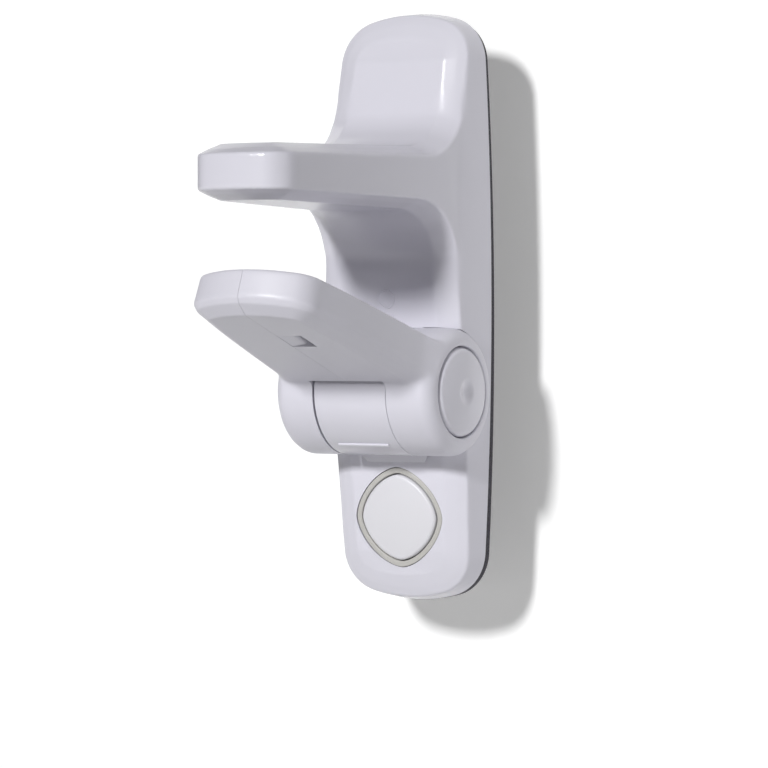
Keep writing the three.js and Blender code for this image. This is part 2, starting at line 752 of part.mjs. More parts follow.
// One side's knuckle with its journal, before the spaces are cut
function armKnuckle() {
  const fillet = Array.from({ length: filletSteps + 1 }, (_, n) => {
    const angle = (n / filletSteps) * quarterTurn;
    return [
      knuckleHalfLength - knuckleEndFillet * (1 - Math.sin(angle)),
      knuckleRadius - knuckleEndFillet * (1 - Math.cos(angle)),
    ];
  });
  const body = turned([[armFace, 0], [armFace, knuckleRadius], ...fillet, [knuckleHalfLength, 0]]);
  return body.add(tube(journalInner, journalOuter, journalEnd, armFace + webThickness / 2));
}

function placedBox(from, to) {
  const geometry = box(new THREE.Vector3(...from), new THREE.Vector3(...to));
  return geometry.rotateX(180 * degrees - armAngle).translate(0, -hingeDepth, hingeHeight);
}

// A box given as corners of [x, l, h] on the arm
function armBox([x0, l0, h0], [x1, l1, h1]) {
  return toSolid(placedBox([x0, l0, -h1], [x1, l1, -h0]));
}

function armHalf(sign) {
  const far = lowerArmReach + overrun;
  const across = knuckleHalfLength + overrun;
  const whole = joinAll([
    lowerArmBlade(0, 0),
    ...sides.map(([, side]) => mirrored(armKnuckle(), side)),
  ]);
  const inside = lowerArmBlade(lowerArmWall, 0).subtract(
    rod(lowerArmCutRadius + lowerArmWall, -across, across),
  );
  const shaftSpace = toSolid(box(
    new THREE.Vector3(0, -shaftHalfSide - shaftClearance, -shaftHalfSide - shaftClearance),
    new THREE.Vector3(across, shaftHalfSide + shaftClearance, shaftHalfSide + shaftClearance),
  ).translate(0, -hingeDepth, hingeHeight));
  const halfSpace = armBox([lowerArmSeam / 2, -far, -far], [across, far, far]);
  const cut = cutAll(whole, [
    inside,
    rod(lowerArmCutRadius, -armFace, armFace).subtract(
      joinAll(sides.map(([, side]) => mirrored(tube(journalInner, journalOuter, journalEnd, across), side))),
    ),
    mirrored(rod(chamberRadius, webOuter, across), sign),
    mirrored(shaftSpace, sign),
  ]);
  const half = cut.intersect(mirrored(halfSpace, sign));
  return sign > 0 ? half.subtract(snapWindow()) : half.add(snapTongue());
}

function snapWindow() {
  const top = lowerArmWall - lowerArmUnderside;
  return armBox(
    [-overrun, windowStart, -lowerArmUnderside - overrun],
    [windowWidth, windowStart + windowLength, top + overrun],
  );
}

function snapTongue() {
  const low = tongueRecess - lowerArmUnderside;
  const start = windowStart + (windowLength - tongueLength) / 2;
  return armBox([-tongueRoot, start, low], [tongueReach, start + tongueLength, low + tongueThickness]);
}

// Side buttons and lock plungers

function sideButton() {
  const bottom = buttonEdge - sideButtonSkirt;
  const round = sideButtonClearance;
  const inner = sideButtonRadius - sideButtonWall;
  const rows = Array.from({ length: filletSteps }, (_, n) => {
    const share = n / filletSteps;
    const radius = interpolate(sideButtonRadius - round, dimpleRadius * dimpleRimShare, share);
    const rise = sideButtonDome * (1 - (radius / sideButtonRadius) ** 2);
    return [buttonEdge + rise, radius];
  });
  const [bowlOut, bowlDown] = dimpleBowlShares;
  const rim = buttonEdge + sideButtonDome * (1 - (dimpleRadius / sideButtonRadius) ** 2);
  return turned([
    [buttonInside, 0],
    [buttonInside, inner],
    [bottom, inner],
    [bottom, sideButtonRadius],
    [buttonEdge - round, sideButtonRadius],
    ...rows,
    [rim, dimpleRadius],
    [rim - dimpleDepth * bowlDown, dimpleRadius * bowlOut],
    [rim - dimpleDepth, 0],
  ]);
}

function lockPlunger() {
  const shaft = toSolid(box(
    new THREE.Vector3(lugOuter - lugThickness / 2, -shaftHalfSide, -shaftHalfSide),
    new THREE.Vector3(shaftEnd, shaftHalfSide, shaftHalfSide),
  ).translate(0, -hingeDepth, hingeHeight));
  const lug = (start) => sector(
    shaftHalfSide / 2, lugRadius, start - lugHalfAngle, start + lugHalfAngle, lugInner, lugOuter,
  );
  return joinAll([shaft, rod(shaftCorner, lugInner, lugOuter), lug(lugStartAngle), lug(lugStartAngle + 180)])
    .subtract(rod(pinRadius + clearance, 0, shaftEnd + overrun, smallFacets));
}

function plungerSpring() {
  const place = new THREE.Matrix4().makeRotationY(quarterTurn);
  place.setPosition(springStart, -hingeDepth, hingeHeight);
  return coil(plungerSpringRadius, plungerSpringWire, plungerSpringTurns, springEnd - springStart, place);
}

function hingePin() {
  const grooveStart = septumHalf + clearance / 2;
  const grooveEnd = grooveStart + clipThickness + clearance;
  const half = [
    [pinHalfLength, 0],
    [pinHalfLength, pinRadius - pinChamfer],
    [pinHalfLength - pinChamfer, pinRadius],
    [grooveEnd, pinRadius],
    [grooveEnd, pinRadius - pinGroove],
    [grooveStart, pinRadius - pinGroove],
    [grooveStart, pinRadius],
  ];
  const other = half.map(([along, radius]) => [-along, radius]).reverse();
  return turned([...half, ...other], smallFacets);
}

function pinClip() {
  const start = septumHalf + clearance;
  const inner = pinRadius - pinGroove + clearance / 2;
  const half = clipOpeningDegrees / 2;
  return sector(inner, inner + clipWidth, half, 360 - half, start, start + clipThickness);
}

function frictionRing() {
  return tube(
    journalInner + frictionRingInset, journalOuter - frictionRingInset, frictionRingInner, frictionRingOuter,
  );
}

// Materials, and the finished group

const material = (color, roughness, metalness) => (
  new THREE.MeshStandardMaterial({ color, roughness, metalness })
);
const plastic = (color, roughness = 0.35) => material(color, roughness, 0);
const steel = () => material(0xb4b6ba, 0.3, 1);
const white = 0xd9d8e2;

const lock = new THREE.Group();

function place(name, solid, look) {
  const mesh = new THREE.Mesh(toGeometry(solid), look);
  mesh.name = name;
  lock.add(mesh);
}

place('base_housing', baseHousing(), plastic(white));
place('back_plate', backPlate(), plastic(0xc9c9d0, 0.5));
place('adhesive_pad', adhesivePad(), plastic(0x46444b, 0.9));
screwPlaces().forEach((at, n) => place(`back_plate_screw_${n + 1}`, backPlateScrew(at), steel()));
place('decoy_ring', decoyRing(), plastic(0xbebeb4, 0.5));
place('decoy_button_cap', decoyCap(), plastic(0xe6e6ea, 0.4));
place('decoy_spring', decoySpring(), steel());
place('hinge_pin', hingePin(), steel());
sides.forEach(([side, sign]) => {
  place(`arm_${side}_half`, armHalf(sign), plastic(white));
  place(`side_button_${side}`, mirrored(sideButton(), sign), plastic(white));
  place(`lock_plunger_${side}`, mirrored(lockPlunger(), sign), plastic(0xe2e0d8, 0.4));
  place(`button_spring_${side}`, mirrored(plungerSpring(), sign), steel());
  place(`pin_clip_${side}`, mirrored(pinClip(), sign), steel());
  place(`friction_ring_${side}`, mirrored(frictionRing(), sign), plastic(0xefeee8, 0.45));
});

export default lock;
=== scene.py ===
"""Finished looks for a door lever lock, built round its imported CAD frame.

The housing and the lower arm are moulded shells: their rough forms are lofted from rings, melted
into one skin and then cut. Depths are distances in front of the door, so a depth d lies at y = -d.
"""

import json
import math

import bmesh
import bpy
from bpy.props import FloatProperty, FloatVectorProperty, IntProperty, PointerProperty
from bpy.types import Operator, Panel, PropertyGroup
from mathutils import Matrix, Vector


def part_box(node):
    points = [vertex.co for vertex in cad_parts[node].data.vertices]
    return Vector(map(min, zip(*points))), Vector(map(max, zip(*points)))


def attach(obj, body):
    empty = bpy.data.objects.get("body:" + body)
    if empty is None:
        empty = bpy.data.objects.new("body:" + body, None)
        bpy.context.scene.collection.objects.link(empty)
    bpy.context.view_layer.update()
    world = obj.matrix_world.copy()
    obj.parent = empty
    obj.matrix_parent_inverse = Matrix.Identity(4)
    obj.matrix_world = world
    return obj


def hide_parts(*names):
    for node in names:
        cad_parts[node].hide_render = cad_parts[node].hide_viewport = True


bl_info = {
    "name": "Door Lever Lock",
    "version": (1, 0, 0),
    "blender": (4, 5, 0),
    "location": "View3D > Sidebar > Lever Lock",
    "description": "Finished pieces, materials and stage for a packed door lever lock",
    "category": "Object",
}

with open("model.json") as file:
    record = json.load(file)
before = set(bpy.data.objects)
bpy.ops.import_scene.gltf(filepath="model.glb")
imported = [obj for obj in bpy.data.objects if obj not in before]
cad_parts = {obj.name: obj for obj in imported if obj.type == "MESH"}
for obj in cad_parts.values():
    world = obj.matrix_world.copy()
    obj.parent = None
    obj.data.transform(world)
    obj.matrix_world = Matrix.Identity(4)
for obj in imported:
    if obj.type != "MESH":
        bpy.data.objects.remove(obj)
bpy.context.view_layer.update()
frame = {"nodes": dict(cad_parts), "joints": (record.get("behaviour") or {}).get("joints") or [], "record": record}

# Sizes are written in millimetres and turned into metres where they are used.
MM = 0.001

# Meshes: corners joined, slits closed, the smallest corner left by an inset, how far cutting tools
# reach, and the angle of a shell's sharp edges
WELD = 1e-5
SLIT = 0.002
SMALLEST_CORNER = 0.01
TOOL_REACH = 30
SHELL_SHARP = 55

# Blocks that cut at one face and reach past the lock with the others
REAR_TOOL = (30, 90, 10)
SEAM_TOOL = (40, -120, 20, -80, 40)

# Sizes that come from the frame
HOUSING_LOW, HOUSING_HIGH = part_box("base_housing")
PAD_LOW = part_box("adhesive_pad")[0]
JOINTS = {joint["name"]: joint for joint in frame["joints"]}
HINGE = Vector(JOINTS["arm_swing"]["pos_m"]) / MM
DECOY_INWARD = Vector(JOINTS["decoy_press"]["axis"])
HALF_HEIGHT = HOUSING_HIGH.z / MM
HALF_WIDTH = HOUSING_HIGH.x / MM
PAD_THICKNESS = -PAD_LOW.y / MM
ARM_REACH = -HOUSING_LOW.y / MM
SIDES = (("right", 1), ("left", -1))

# Housing outline on the door, and its sides
SIDE_RADIUS = 1150
CORNER_RADIUS = 12
END_RADIUS = 42
SIDE_LEAN = 0.18
LEAN_SHARES = [(-1, 1), (-0.57, 0.94), (0, 0.64), (1, 0.68)]
LEAN_DEPTH = 13.8
EDGE_DEPTH = 16.3
EDGE_SHARES = [
    (-1, 0.466), (-0.82, 0.552), (-0.569, 0.65), (-0.066, 0.92), (0.159, 1), (0.397, 0.94),
    (0.55, 0.87), (0.64, 0.805), (0.688, 0.748), (0.754, 0.67), (0.847, 0.588), (1, 0.485),
]
BEVEL_WIDTH = 5.8
BEVEL_DROP = 2.3
BEVEL_SHARES = (0.35, 0.7, 0.9, 1)
HOUSING_EDGE = 0.6
HOUSING_OVERRUN = 4
ROOT_DEPTH = 9
ROOT_REACH = 5

# Adhesive pad, which rises a little into the housing's rear
PAD_RISE = 0.4
PAD_INSETS = (0.02, 0.7)
PAD_EDGE = (0.1, 0.2)

# Upper arm: heights at its root and tip, and for its top and its underside the sweep into the housing
ARM_TOP = (40.1, 38.75)
ARM_BOTTOM = (24.3, 25.2)
ARM_FILLET_DEPTH = (28.9, 32.36)
ARM_FILLET = (15, 14)
ARM_ROOT_SHARE = (0.845, 0.97)
ARM_ROOT_HEIGHT = (51.5, 10.5)
ARM_TAPER = 0.098
ARM_TAPER_START = 21
ARM_CORNER = 8
ARM_TIP_RADIUS = 34

# Hinge
KNUCKLE_RADIUS = 16.2
KNUCKLE_HALF_LENGTH = 23.4
KNUCKLE_FILLET = 3.8
KNUCKLE_FACE = 10.6
KNUCKLE_EDGE = 0.2
KNUCKLE_BITE = 0.05
ARM_FACES = (-11.15, 10.76)
WEB_OUTER = 13.1
POCKET_RADIUS = 16.45
CHAMBER_RADIUS = 11.62
CHAMBER_ROUNDING = 0.4
SHAFT_HALF_SIDE = 5.45
SHAFT_SPAN = (8, 20)

# Recesses in the centre knuckle: their radii, and how far from the middle each one ends
JOURNAL_RECESS = (12.2, 14.5, 8.1)
LUG_SPACE = (10.85, 4.85)
SPRING_SPACE = (5.2, 1.2)
PIN_SPACE = 2.2

# Lower arm, in a frame on the hinge: l out along its underside and h up from it
LOWER_ANGLE = math.radians(20.1)
LOWER_REACH = 69.8
LOWER_BOTTOM = -3.55
LOWER_TOP = 9.65
LOWER_TOP_SLOPE = 0.04
LOWER_BEVEL_WIDTH = 4.8
LOWER_BEVEL_DROP = 2.4
LOWER_BEVEL_SHARES = (0, 0.1, 0.3, 0.65, 1)
LOWER_SIDE_LEAN = 0.06
LOWER_CORNER = 7
LOWER_TIP_RADIUS = 30
LOWER_TIP_HALF_WIDTH = 17.4
LOWER_CUT_RADIUS = 18.2
LOWER_SEAM = 0.07
LOWER_EDGE = 1.2
LOWER_TOP_EDGE = 0.9
SHOULDER_RADIUS = 17.6
SHOULDER_REACH = 4
LOWER_SIDES = [
    (4.9, 23.2), (11.9, 23.2), (15.7, 22.4), (18.8, 21.6), (24.1, 21.1), (37, 20.1), (48.9, 19),
]

# Window in the arm's underside and the tongue in it: start and end along l, and reach across
WINDOW = (43, 50.8, 7.2)
WINDOW_DEPTH = 4.5
WINDOW_OVERRUN = (1, 12)
TONGUE = (43.1, 50.6, 4.3)
TONGUE_RECESS = 0.05
TONGUE_SLOPE = 0.6
TONGUE_THICKNESS = 1.6
TONGUE_RAMP = 1.1
TONGUE_ROOT = 0.5

# Neck under the centre knuckle, the bar on the knuckle and the mark on the front face
NECK_FRONTS = (14.5, 13.6)
NECK_HALF_WIDTHS = (10.3, 8.7)
NECK_REAR = 3.9
NECK_FOOT = 2
NECK_TOP = 4
NECK_ROUNDING = 0.3
BAR_HALF_WIDTH = 7.5
BAR_HEIGHT = 0.5
BAR_THICKNESS = 0.9
BAR_ROUNDING = 0.15
BAR_ANGLE = math.radians(235)
MARK_PLACE = (0, 1.9)
MARK_RADIUS = 2.5
MARK_LINE = 0.45
MARK_HEIGHT = 0.24
MARK_ROOT = 0.4
MARK_FLANK = 0.06

# Side buttons
BUTTON_RADIUS = 11.3
BUTTON_EDGE = 23.7
BUTTON_DOME = 1.18
BUTTON_ROUNDING = 1.6
BUTTON_SKIRT = 5.4
BUTTON_WALL = 2
DIMPLE_RADIUS = 3.8
DIMPLE_DEPTH = 0.9

# Decoy button, square to the lower panel
DECOY_HALF_DIAGONAL = 12.85
DECOY_POWER = 1.65
DECOY_RING_WIDTH = 1.5
DECOY_RING_HEIGHT = 2.6
DECOY_RING_RECESS = 0.15
DECOY_RING_EDGE = 0.35
DECOY_GAP = 0.3
DECOY_SEAT_GAP = 0.14
DECOY_CAP_PROUD = 0.4
DECOY_CAP_CROWN = 0.6
DECOY_CAP_DEPTH = 4
DECOY_CAP_EDGE = 0.9
DECOY_ROOM = 1.6
DECOY_TOOL_TOP = 5
DECOY_END_INSET = 21.6

# Camera that took the photograph, and its image
IMAGE_SIZE = 768
SENSOR = 36
FOCAL_PIXELS = 3703.3
CAMERA_AZIMUTH = math.radians(32.25)
CAMERA_ELEVATION = math.radians(0.739)
CAMERA_DISTANCE = 935
CAMERA_TARGET = Vector((4.213, -25.8, -19.609))

# Light: for each lamp its direction, distance, width and height, power, and whether it shows in gloss
LAMPS = {
    "key": ((-0.05, -1, 0.4), 3000, (330, 420), 76.0, True),
    "right": ((1, -0.25, 0), 900, (600, 600), 1.6, False),
    "top": ((0, -0.3, 1), 900, (600, 600), 0.15, False),
    "behind": ((0, 1, 0.3), 900, (600, 600), 0.6, False),
}
LAMP_AIM = (0, -30, -10)
WORLD_LEVEL = 0.0
WALL_PAINT = 0.84
WALL_LIFT = 0.24
FLOOR_PAINT = 0.64
FLOOR_LIFT = 0.9
WALL_GAP = 21
WALL_HALF_WIDTH = 168
WALL_TOP = 150
FLOOR_HEIGHT = -200
FLOOR_REACH = 2500


# Reading a row of values


def smooth_between(rows, place):
    """The value at a place on a smooth curve through rows of (place, value)."""
    place = min(max(place, rows[0][0]), rows[-1][0])
    last = len(rows) - 1
    n = next(k for k in range(last) if place <= rows[k + 1][0])

    def slope(k):
        low, high = rows[max(k - 1, 0)], rows[min(k + 1, last)]
        return (high[1] - low[1]) / (high[0] - low[0])

    (start, low), (end, high) = rows[n], rows[n + 1]
    span = end - start
    t = (place - start) / span
    return (
        low * (1 + 2 * t) * (1 - t) ** 2
        + high * t * t * (3 - 2 * t)
        + span * (slope(n) * t * (1 - t) ** 2 - slope(n + 1) * t * t * (1 - t))
    )


def mix(start, end, share):
    return start + (end - start) * share


def shares(steps):
    return [n / steps for n in range(steps + 1)]


def quarter_round(radius, steps):
    """(inset, rise) pairs from the foot of a rounded edge to its top."""
    turns = [share * math.pi / 2 for share in shares(steps)]
    return [(radius * (1 - math.cos(turn)), radius * math.sin(turn)) for turn in turns]


# Making meshes


def new_piece(name, bm):
    """A piece of the object from a bmesh in millimetres, with nothing on it yet."""
    bmesh.ops.scale(bm, vec=(MM, MM, MM), verts=bm.verts)
    mesh = bpy.data.meshes.new(name)
    bm.to_mesh(mesh)
    bm.free()
    piece = bpy.data.objects.new(name, mesh)
    bpy.context.scene.collection.objects.link(piece)
    return piece


def drop(piece):
    mesh = piece.data
    bpy.data.objects.remove(piece)
    bpy.data.meshes.remove(mesh)


def bake_modifiers(piece):
    depsgraph = bpy.context.evaluated_depsgraph_get()
    mesh = bpy.data.meshes.new_from_object(piece.evaluated_get(depsgraph))
    old = piece.data
    piece.modifiers.clear()
    piece.data = mesh
    bpy.data.meshes.remove(old)


def melt(piece, voxel, passes):
    """Turns overlapping closed forms into one even skin with soft edges."""
    remesh = piece.modifiers.new("Melt", "REMESH")
    remesh.mode = "VOXEL"
    remesh.voxel_size = voxel
    smooth = piece.modifiers.new("Soften", "SMOOTH")
    smooth.factor = 0.5
    smooth.iterations = passes
    bake_modifiers(piece)


def bump(value, centre, reach):
    """1 at the centre, falling smoothly to 0 at the reach on either side."""
    off = min(abs(value - centre) / reach, 1)
    return (1 - off * off) ** 2


def soften(piece, passes, weight_at):
    """Smooths a piece where weight_at, a function of a point in millimetres, isn't 0."""
    group = piece.vertex_groups.new(name="Soft")
    for vert in piece.data.vertices:
        weight = weight_at(vert.co / MM)
        if weight > 0:
            group.add([vert.index], weight, "REPLACE")
    smooth = piece.modifiers.new("Soften", "SMOOTH")
    smooth.factor = 0.5
    smooth.iterations = passes
    smooth.vertex_group = group.name
    bake_modifiers(piece)
    piece.vertex_groups.clear()


def cut(piece, tools, operation="DIFFERENCE"):
    for tool in tools:
        step = piece.modifiers.new("Cut", "BOOLEAN")
        step.operation = operation
        step.solver = "EXACT"
        step.object = tool
    bake_modifiers(piece)
    for tool in tools:
        drop(tool)


def close_slits(piece):
    """Merges the hair-thin slits that a cut can leave, and closes them."""
    bm = bmesh.new()
    bm.from_mesh(piece.data)
    bmesh.ops.remove_doubles(bm, verts=bm.verts, dist=SLIT * MM)
    bmesh.ops.holes_fill(bm, edges=[edge for edge in bm.edges if edge.is_boundary], sides=0)
    bmesh.ops.recalc_face_normals(bm, faces=bm.faces)
    bm.to_mesh(piece.data)
    bm.free()


def finish_piece(piece, body, material, replaces=(), sharp=35):
    """Shades a piece, gives it its material, hangs it on its body and hides the frame parts that it replaces."""
    piece.data.shade_smooth()
    piece.data.set_sharp_from_angle(angle=math.radians(sharp))
    piece.data.materials.clear()
    piece.data.materials.append(material)
    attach(piece, body)
    if replaces:
        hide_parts(*replaces)


def loft(bm, rings):
    """A closed form through rings that each list the points of their right side only."""
    chains = []
    for ring in rings:
        verts = [bm.verts.new(point) for point in ring]
        chains.append([bm.edges.new(pair) for pair in zip(verts, verts[1:])])
    made = [edge for chain in chains for edge in chain]
    for low, high in zip(chains, chains[1:]):
        bmesh.ops.bridge_loops(bm, edges=low + high)
    mine = {vert for edge in made for vert in edge.verts}
    faces = [face for face in bm.faces if all(vert in mine for vert in face.verts)]
    edges = {edge for face in faces for edge in face.edges}
    bmesh.ops.mirror(bm, geom=list(mine) + list(edges) + faces, axis="X", merge_dist=WELD)
    bmesh.ops.remove_doubles(bm, verts=bm.verts, dist=WELD)
    bmesh.ops.holes_fill(bm, edges=bm.edges, sides=0)
    bmesh.ops.recalc_face_normals(bm, faces=bm.faces)


def spun(bm, profile, steps=96, centre=HINGE):
    """Turns a profile of (place along X, radius) about the hinge's axis."""
    verts = [bm.verts.new(centre + Vector((along, 0, radius))) for along, radius in profile]
    edges = [bm.edges.new(pair) for pair in zip(verts, verts[1:])]
    bmesh.ops.spin(
        bm, geom=verts + edges, cent=centre, axis=(1, 0, 0), angle=math.tau, steps=steps, use_merge=True,
    )
    bmesh.ops.remove_doubles(bm, verts=bm.verts, dist=WELD)
    bmesh.ops.recalc_face_normals(bm, faces=bm.faces)


def rod(name, radius, start, end, steps=128):
    """A cutting rod along the hinge's axis."""
    bm = bmesh.new()
    spun(bm, [(start, 0), (start, radius), (end, radius), (end, 0)], steps)
    return new_piece(name, bm)


def box_matrix(middle, size):
    return Matrix.Translation(middle) @ Matrix.Diagonal((*size, 1))


def block(name, low, high, place=None):
    """A block between two corners, in a frame of its own where one is given."""
    bm = bmesh.new()
    size = [b - a for a, b in zip(low, high)]
    middle = [(a + b) / 2 for a, b in zip(low, high)]
    matrix = box_matrix(middle, size)
    bmesh.ops.create_cube(bm, size=1, matrix=place @ matrix if place else matrix)
    return new_piece(name, bm)


def round_edges(bm, edges, width, segments):
    bmesh.ops.bevel(
        bm, geom=edges, offset=width, affect="EDGES", segments=segments, profile=0.5, material=-1,
        clamp_overlap=True,
    )


# Housing


def outline_stations(side_steps=72, corner_steps=18, end_steps=10):
    """The right side of the housing's outline, top to bottom, as (centre x, centre z, radius, angle)."""
    side_x = HALF_WIDTH - SIDE_RADIUS
    end_z = HALF_HEIGHT - END_RADIUS
    side_reach = SIDE_RADIUS - CORNER_RADIUS
    end_reach = END_RADIUS - CORNER_RADIUS
    apart = math.hypot(side_x, end_z)
    along = (side_reach**2 - end_reach**2 + apart**2) / (2 * apart)
    off = math.sqrt(side_reach**2 - along**2)
    corner_x = side_x - (along * side_x + off * end_z) / apart
    corner_z = (along * end_z - off * side_x) / apart
    end_angle = math.atan2(corner_z - end_z, corner_x)
    side_angle = math.atan2(corner_z, corner_x - side_x)

    def arc(x, z, radius, start, end, steps):
        return [(x, z, radius, mix(start, end, share)) for share in shares(steps)[:-1]]

    return [
        *arc(0, end_z, END_RADIUS, math.pi / 2, end_angle, end_steps),
        *arc(corner_x, corner_z, CORNER_RADIUS, end_angle, side_angle, corner_steps),
        *arc(side_x, 0, SIDE_RADIUS, side_angle, -side_angle, side_steps),
        *arc(corner_x, -corner_z, CORNER_RADIUS, -side_angle, -end_angle, corner_steps),
        *arc(0, -end_z, END_RADIUS, -end_angle, -math.pi / 2, end_steps),
        (0, -end_z, END_RADIUS, -math.pi / 2),
    ]


STATIONS = outline_stations()


def tip_outline(tip_centre, tip_radius, corner_radius, half_width, inset):
    """Where an arm's tip starts, and its points (x, distance out) from its side to the middle."""
    corner_x = half_width - corner_radius
    start = tip_centre + math.sqrt((tip_radius - corner_radius) ** 2 - corner_x**2)
    tip_angle = math.atan2(start - tip_centre, corner_x)
    corner = max(corner_radius - inset, SMALLEST_CORNER)
    front = tip_radius - inset
    points = []
    for share in shares(12):
        angle = tip_angle * share
        points.append((corner_x + corner * math.cos(angle), start + corner * math.sin(angle)))
    for share in shares(10)[1:]:
        angle = mix(tip_angle, math.pi / 2, share)
        across = 0 if share == 1 else front * math.cos(angle)
        points.append((across, tip_centre + front * math.sin(angle)))
    return start, points


def outline_ring(inset_at, depth_at, spine=False):
    """One ring of the housing. A spine is the ring drawn together onto the middle plane."""
    points = []
    for n, (x, z, radius, angle) in enumerate(STATIONS):
        rim_z = z + radius * math.sin(angle)
        reach = radius - inset_at(rim_z)
        across = 0 if spine or n in (0, len(STATIONS) - 1) else x + reach * math.cos(angle)
        points.append(Vector((max(across, 0), -depth_at(rim_z), z + reach * math.sin(angle))))
    return points


def front_edge(z):
    return EDGE_DEPTH * smooth_between(EDGE_SHARES, z / HALF_HEIGHT)


def front_face(z):
    return front_edge(z) + BEVEL_DROP


def lean_at(z, depth):
    return SIDE_LEAN * smooth_between(LEAN_SHARES, z / HALF_HEIGHT) * min(depth - PAD_THICKNESS, LEAN_DEPTH)


def half_width_at(z, depth):
    side_x = HALF_WIDTH - SIDE_RADIUS
    return side_x + math.sqrt(SIDE_RADIUS**2 - z**2) - lean_at(z, depth)


def loft_housing(bm, rear_depth, edge):
    """The housing's body: its sides, a soft edge, the wide bevel and the front face."""
    def side_top(z):
        return front_edge(z) - edge

    def inset(z):
        return lean_at(z, side_top(z))

    rings = [
        outline_ring(lambda z: 0, lambda z: rear_depth, spine=True),
        outline_ring(lambda z: 0, lambda z: rear_depth),
        outline_ring(lambda z: 0, lambda z: PAD_THICKNESS),
    ]
    for inward, rise in quarter_round(edge, 4):
        rings.append(outline_ring(lambda z, i=inward: inset(z) + i, lambda z, r=rise: side_top(z) + r))
    for share in BEVEL_SHARES:
        inward = mix(edge, BEVEL_WIDTH, share)
        drop_here = BEVEL_DROP * (inward / BEVEL_WIDTH)
        rings.append(outline_ring(lambda z, i=inward: inset(z) + i, lambda z, d=drop_here: front_edge(z) + d))
    rings.append(outline_ring(lambda z: inset(z) + BEVEL_WIDTH, front_face, spine=True))
    loft(bm, rings)


def arm_half_width(z, depth):
    return half_width_at(z, depth) - ARM_TAPER * max(0, depth - ARM_TAPER_START)


def arm_ring(side, inward, inset, spine=False):
    """One level of the upper arm. Side is 1 for its top and -1 for its underside."""
    pick = 0 if side > 0 else 1
    (root_height, tip_height) = ARM_TOP if side > 0 else ARM_BOTTOM
    fillet_depth = ARM_FILLET_DEPTH[pick]
    middle = (ARM_TOP[0] + ARM_BOTTOM[0]) / 2
    fillet = ARM_FILLET[pick] + inward

    def height(depth):
        return mix(root_height, tip_height, (depth - fillet_depth) / (ARM_REACH - fillet_depth))

    points = []

    def add(x, depth, z):
        points.append(Vector((0 if spine else x, -depth, z)))

    for share in shares(16)[:-1]:
        turn = (1 - share) * ARM_ROOT_SHARE[pick] * math.pi / 2
        depth = fillet_depth - fillet * math.sin(turn)
        z = height(fillet_depth) + side * (ARM_FILLET[pick] - fillet * math.cos(turn))
        level = mix(middle, z, math.sin(turn))
        add(arm_half_width(level, depth) - inset, depth, z)
    tip_centre = ARM_REACH - ARM_TIP_RADIUS
    tip_half_width = arm_half_width(middle, tip_centre + (ARM_TIP_RADIUS - ARM_CORNER))
    start, tip = tip_outline(tip_centre, ARM_TIP_RADIUS, ARM_CORNER, tip_half_width, inset)
    for share in shares(12)[:-1]:
        depth = mix(fillet_depth, start, share)
        add(arm_half_width(middle, depth) - inset, depth, height(depth) - side * inward)
    for x, depth in tip:
        add(x, depth, height(depth) - side * inward)
    return points


def loft_upper_arm(bm, edge):
    def half(side):
        levels = [arm_ring(side, BEVEL_DROP + edge - rise, inward) for inward, rise in quarter_round(edge, 4)]
        for share in BEVEL_SHARES:
            inward = mix(edge, BEVEL_WIDTH, share)
            levels.append(arm_ring(side, BEVEL_DROP * (1 - inward / BEVEL_WIDTH), inward))
        levels.append(arm_ring(side, 0, BEVEL_WIDTH, spine=True))
        return levels

    loft(bm, [*reversed(half(-1)), *half(1)])


def on_panel(x, s, h):
    """A point on the decoy button: x across, s up along the panel and h out of it."""
    height = DECOY_END_INSET - HALF_HEIGHT
    depth = (front_face(height + DECOY_HALF_DIAGONAL) + front_face(height - DECOY_HALF_DIAGONAL)) / 2
    along = Vector((0, -DECOY_INWARD.z, DECOY_INWARD.y))
    return Vector((x, -depth, height)) + along * s - DECOY_INWARD * h


def diamond_ring(half_diagonal, h, steps=64):
    """The right side of a rounded diamond."""
    points = []
    for share in shares(steps):
        angle = mix(math.pi / 2, -math.pi / 2, share)
        across, up = math.cos(angle), math.sin(angle)
        x = 0 if share in (0, 1) else half_diagonal * across ** (2 / DECOY_POWER)
        s = half_diagonal * math.copysign(abs(up) ** (2 / DECOY_POWER), up)
        points.append(on_panel(x, s, h))
    return points


def diamond_rings(rows, closed=True):
    """Rings for rows of (half diagonal, height), drawn together at both ends."""
    rings = [diamond_ring(half, h) for half, h in rows]
    if closed:
        spines = [[Vector((0, p.y, p.z)) for p in rings[n]] for n in (0, -1)]
        rings = [spines[0], *rings, spines[1]]
    return rings


def diamond_tool(name, half_diagonal, low, high):
    bm = bmesh.new()
    loft(bm, diamond_rings([(half_diagonal, low), (half_diagonal, high)]))
    return new_piece(name, bm)


def root_weight(point):
    """Where the upper arm's sweeps meet the front face."""
    if -point.y < ROOT_DEPTH:
        return 0
    return max(bump(point.z, height, ROOT_REACH) for height in ARM_ROOT_HEIGHT)


def pocket_tool():
    """Room for the hinge barrel, closer round its middle, which belongs to the housing."""
    profile = [
        (KNUCKLE_FACE, KNUCKLE_RADIUS - KNUCKLE_BITE), (KNUCKLE_FACE, POCKET_RADIUS),
        (TOOL_REACH, POCKET_RADIUS), (TOOL_REACH, 0),
    ]
    bm = bmesh.new()
    spun(bm, [*[(-x, r) for x, r in reversed(profile)], *profile], steps=128)
    return new_piece("pocket_tool", bm)


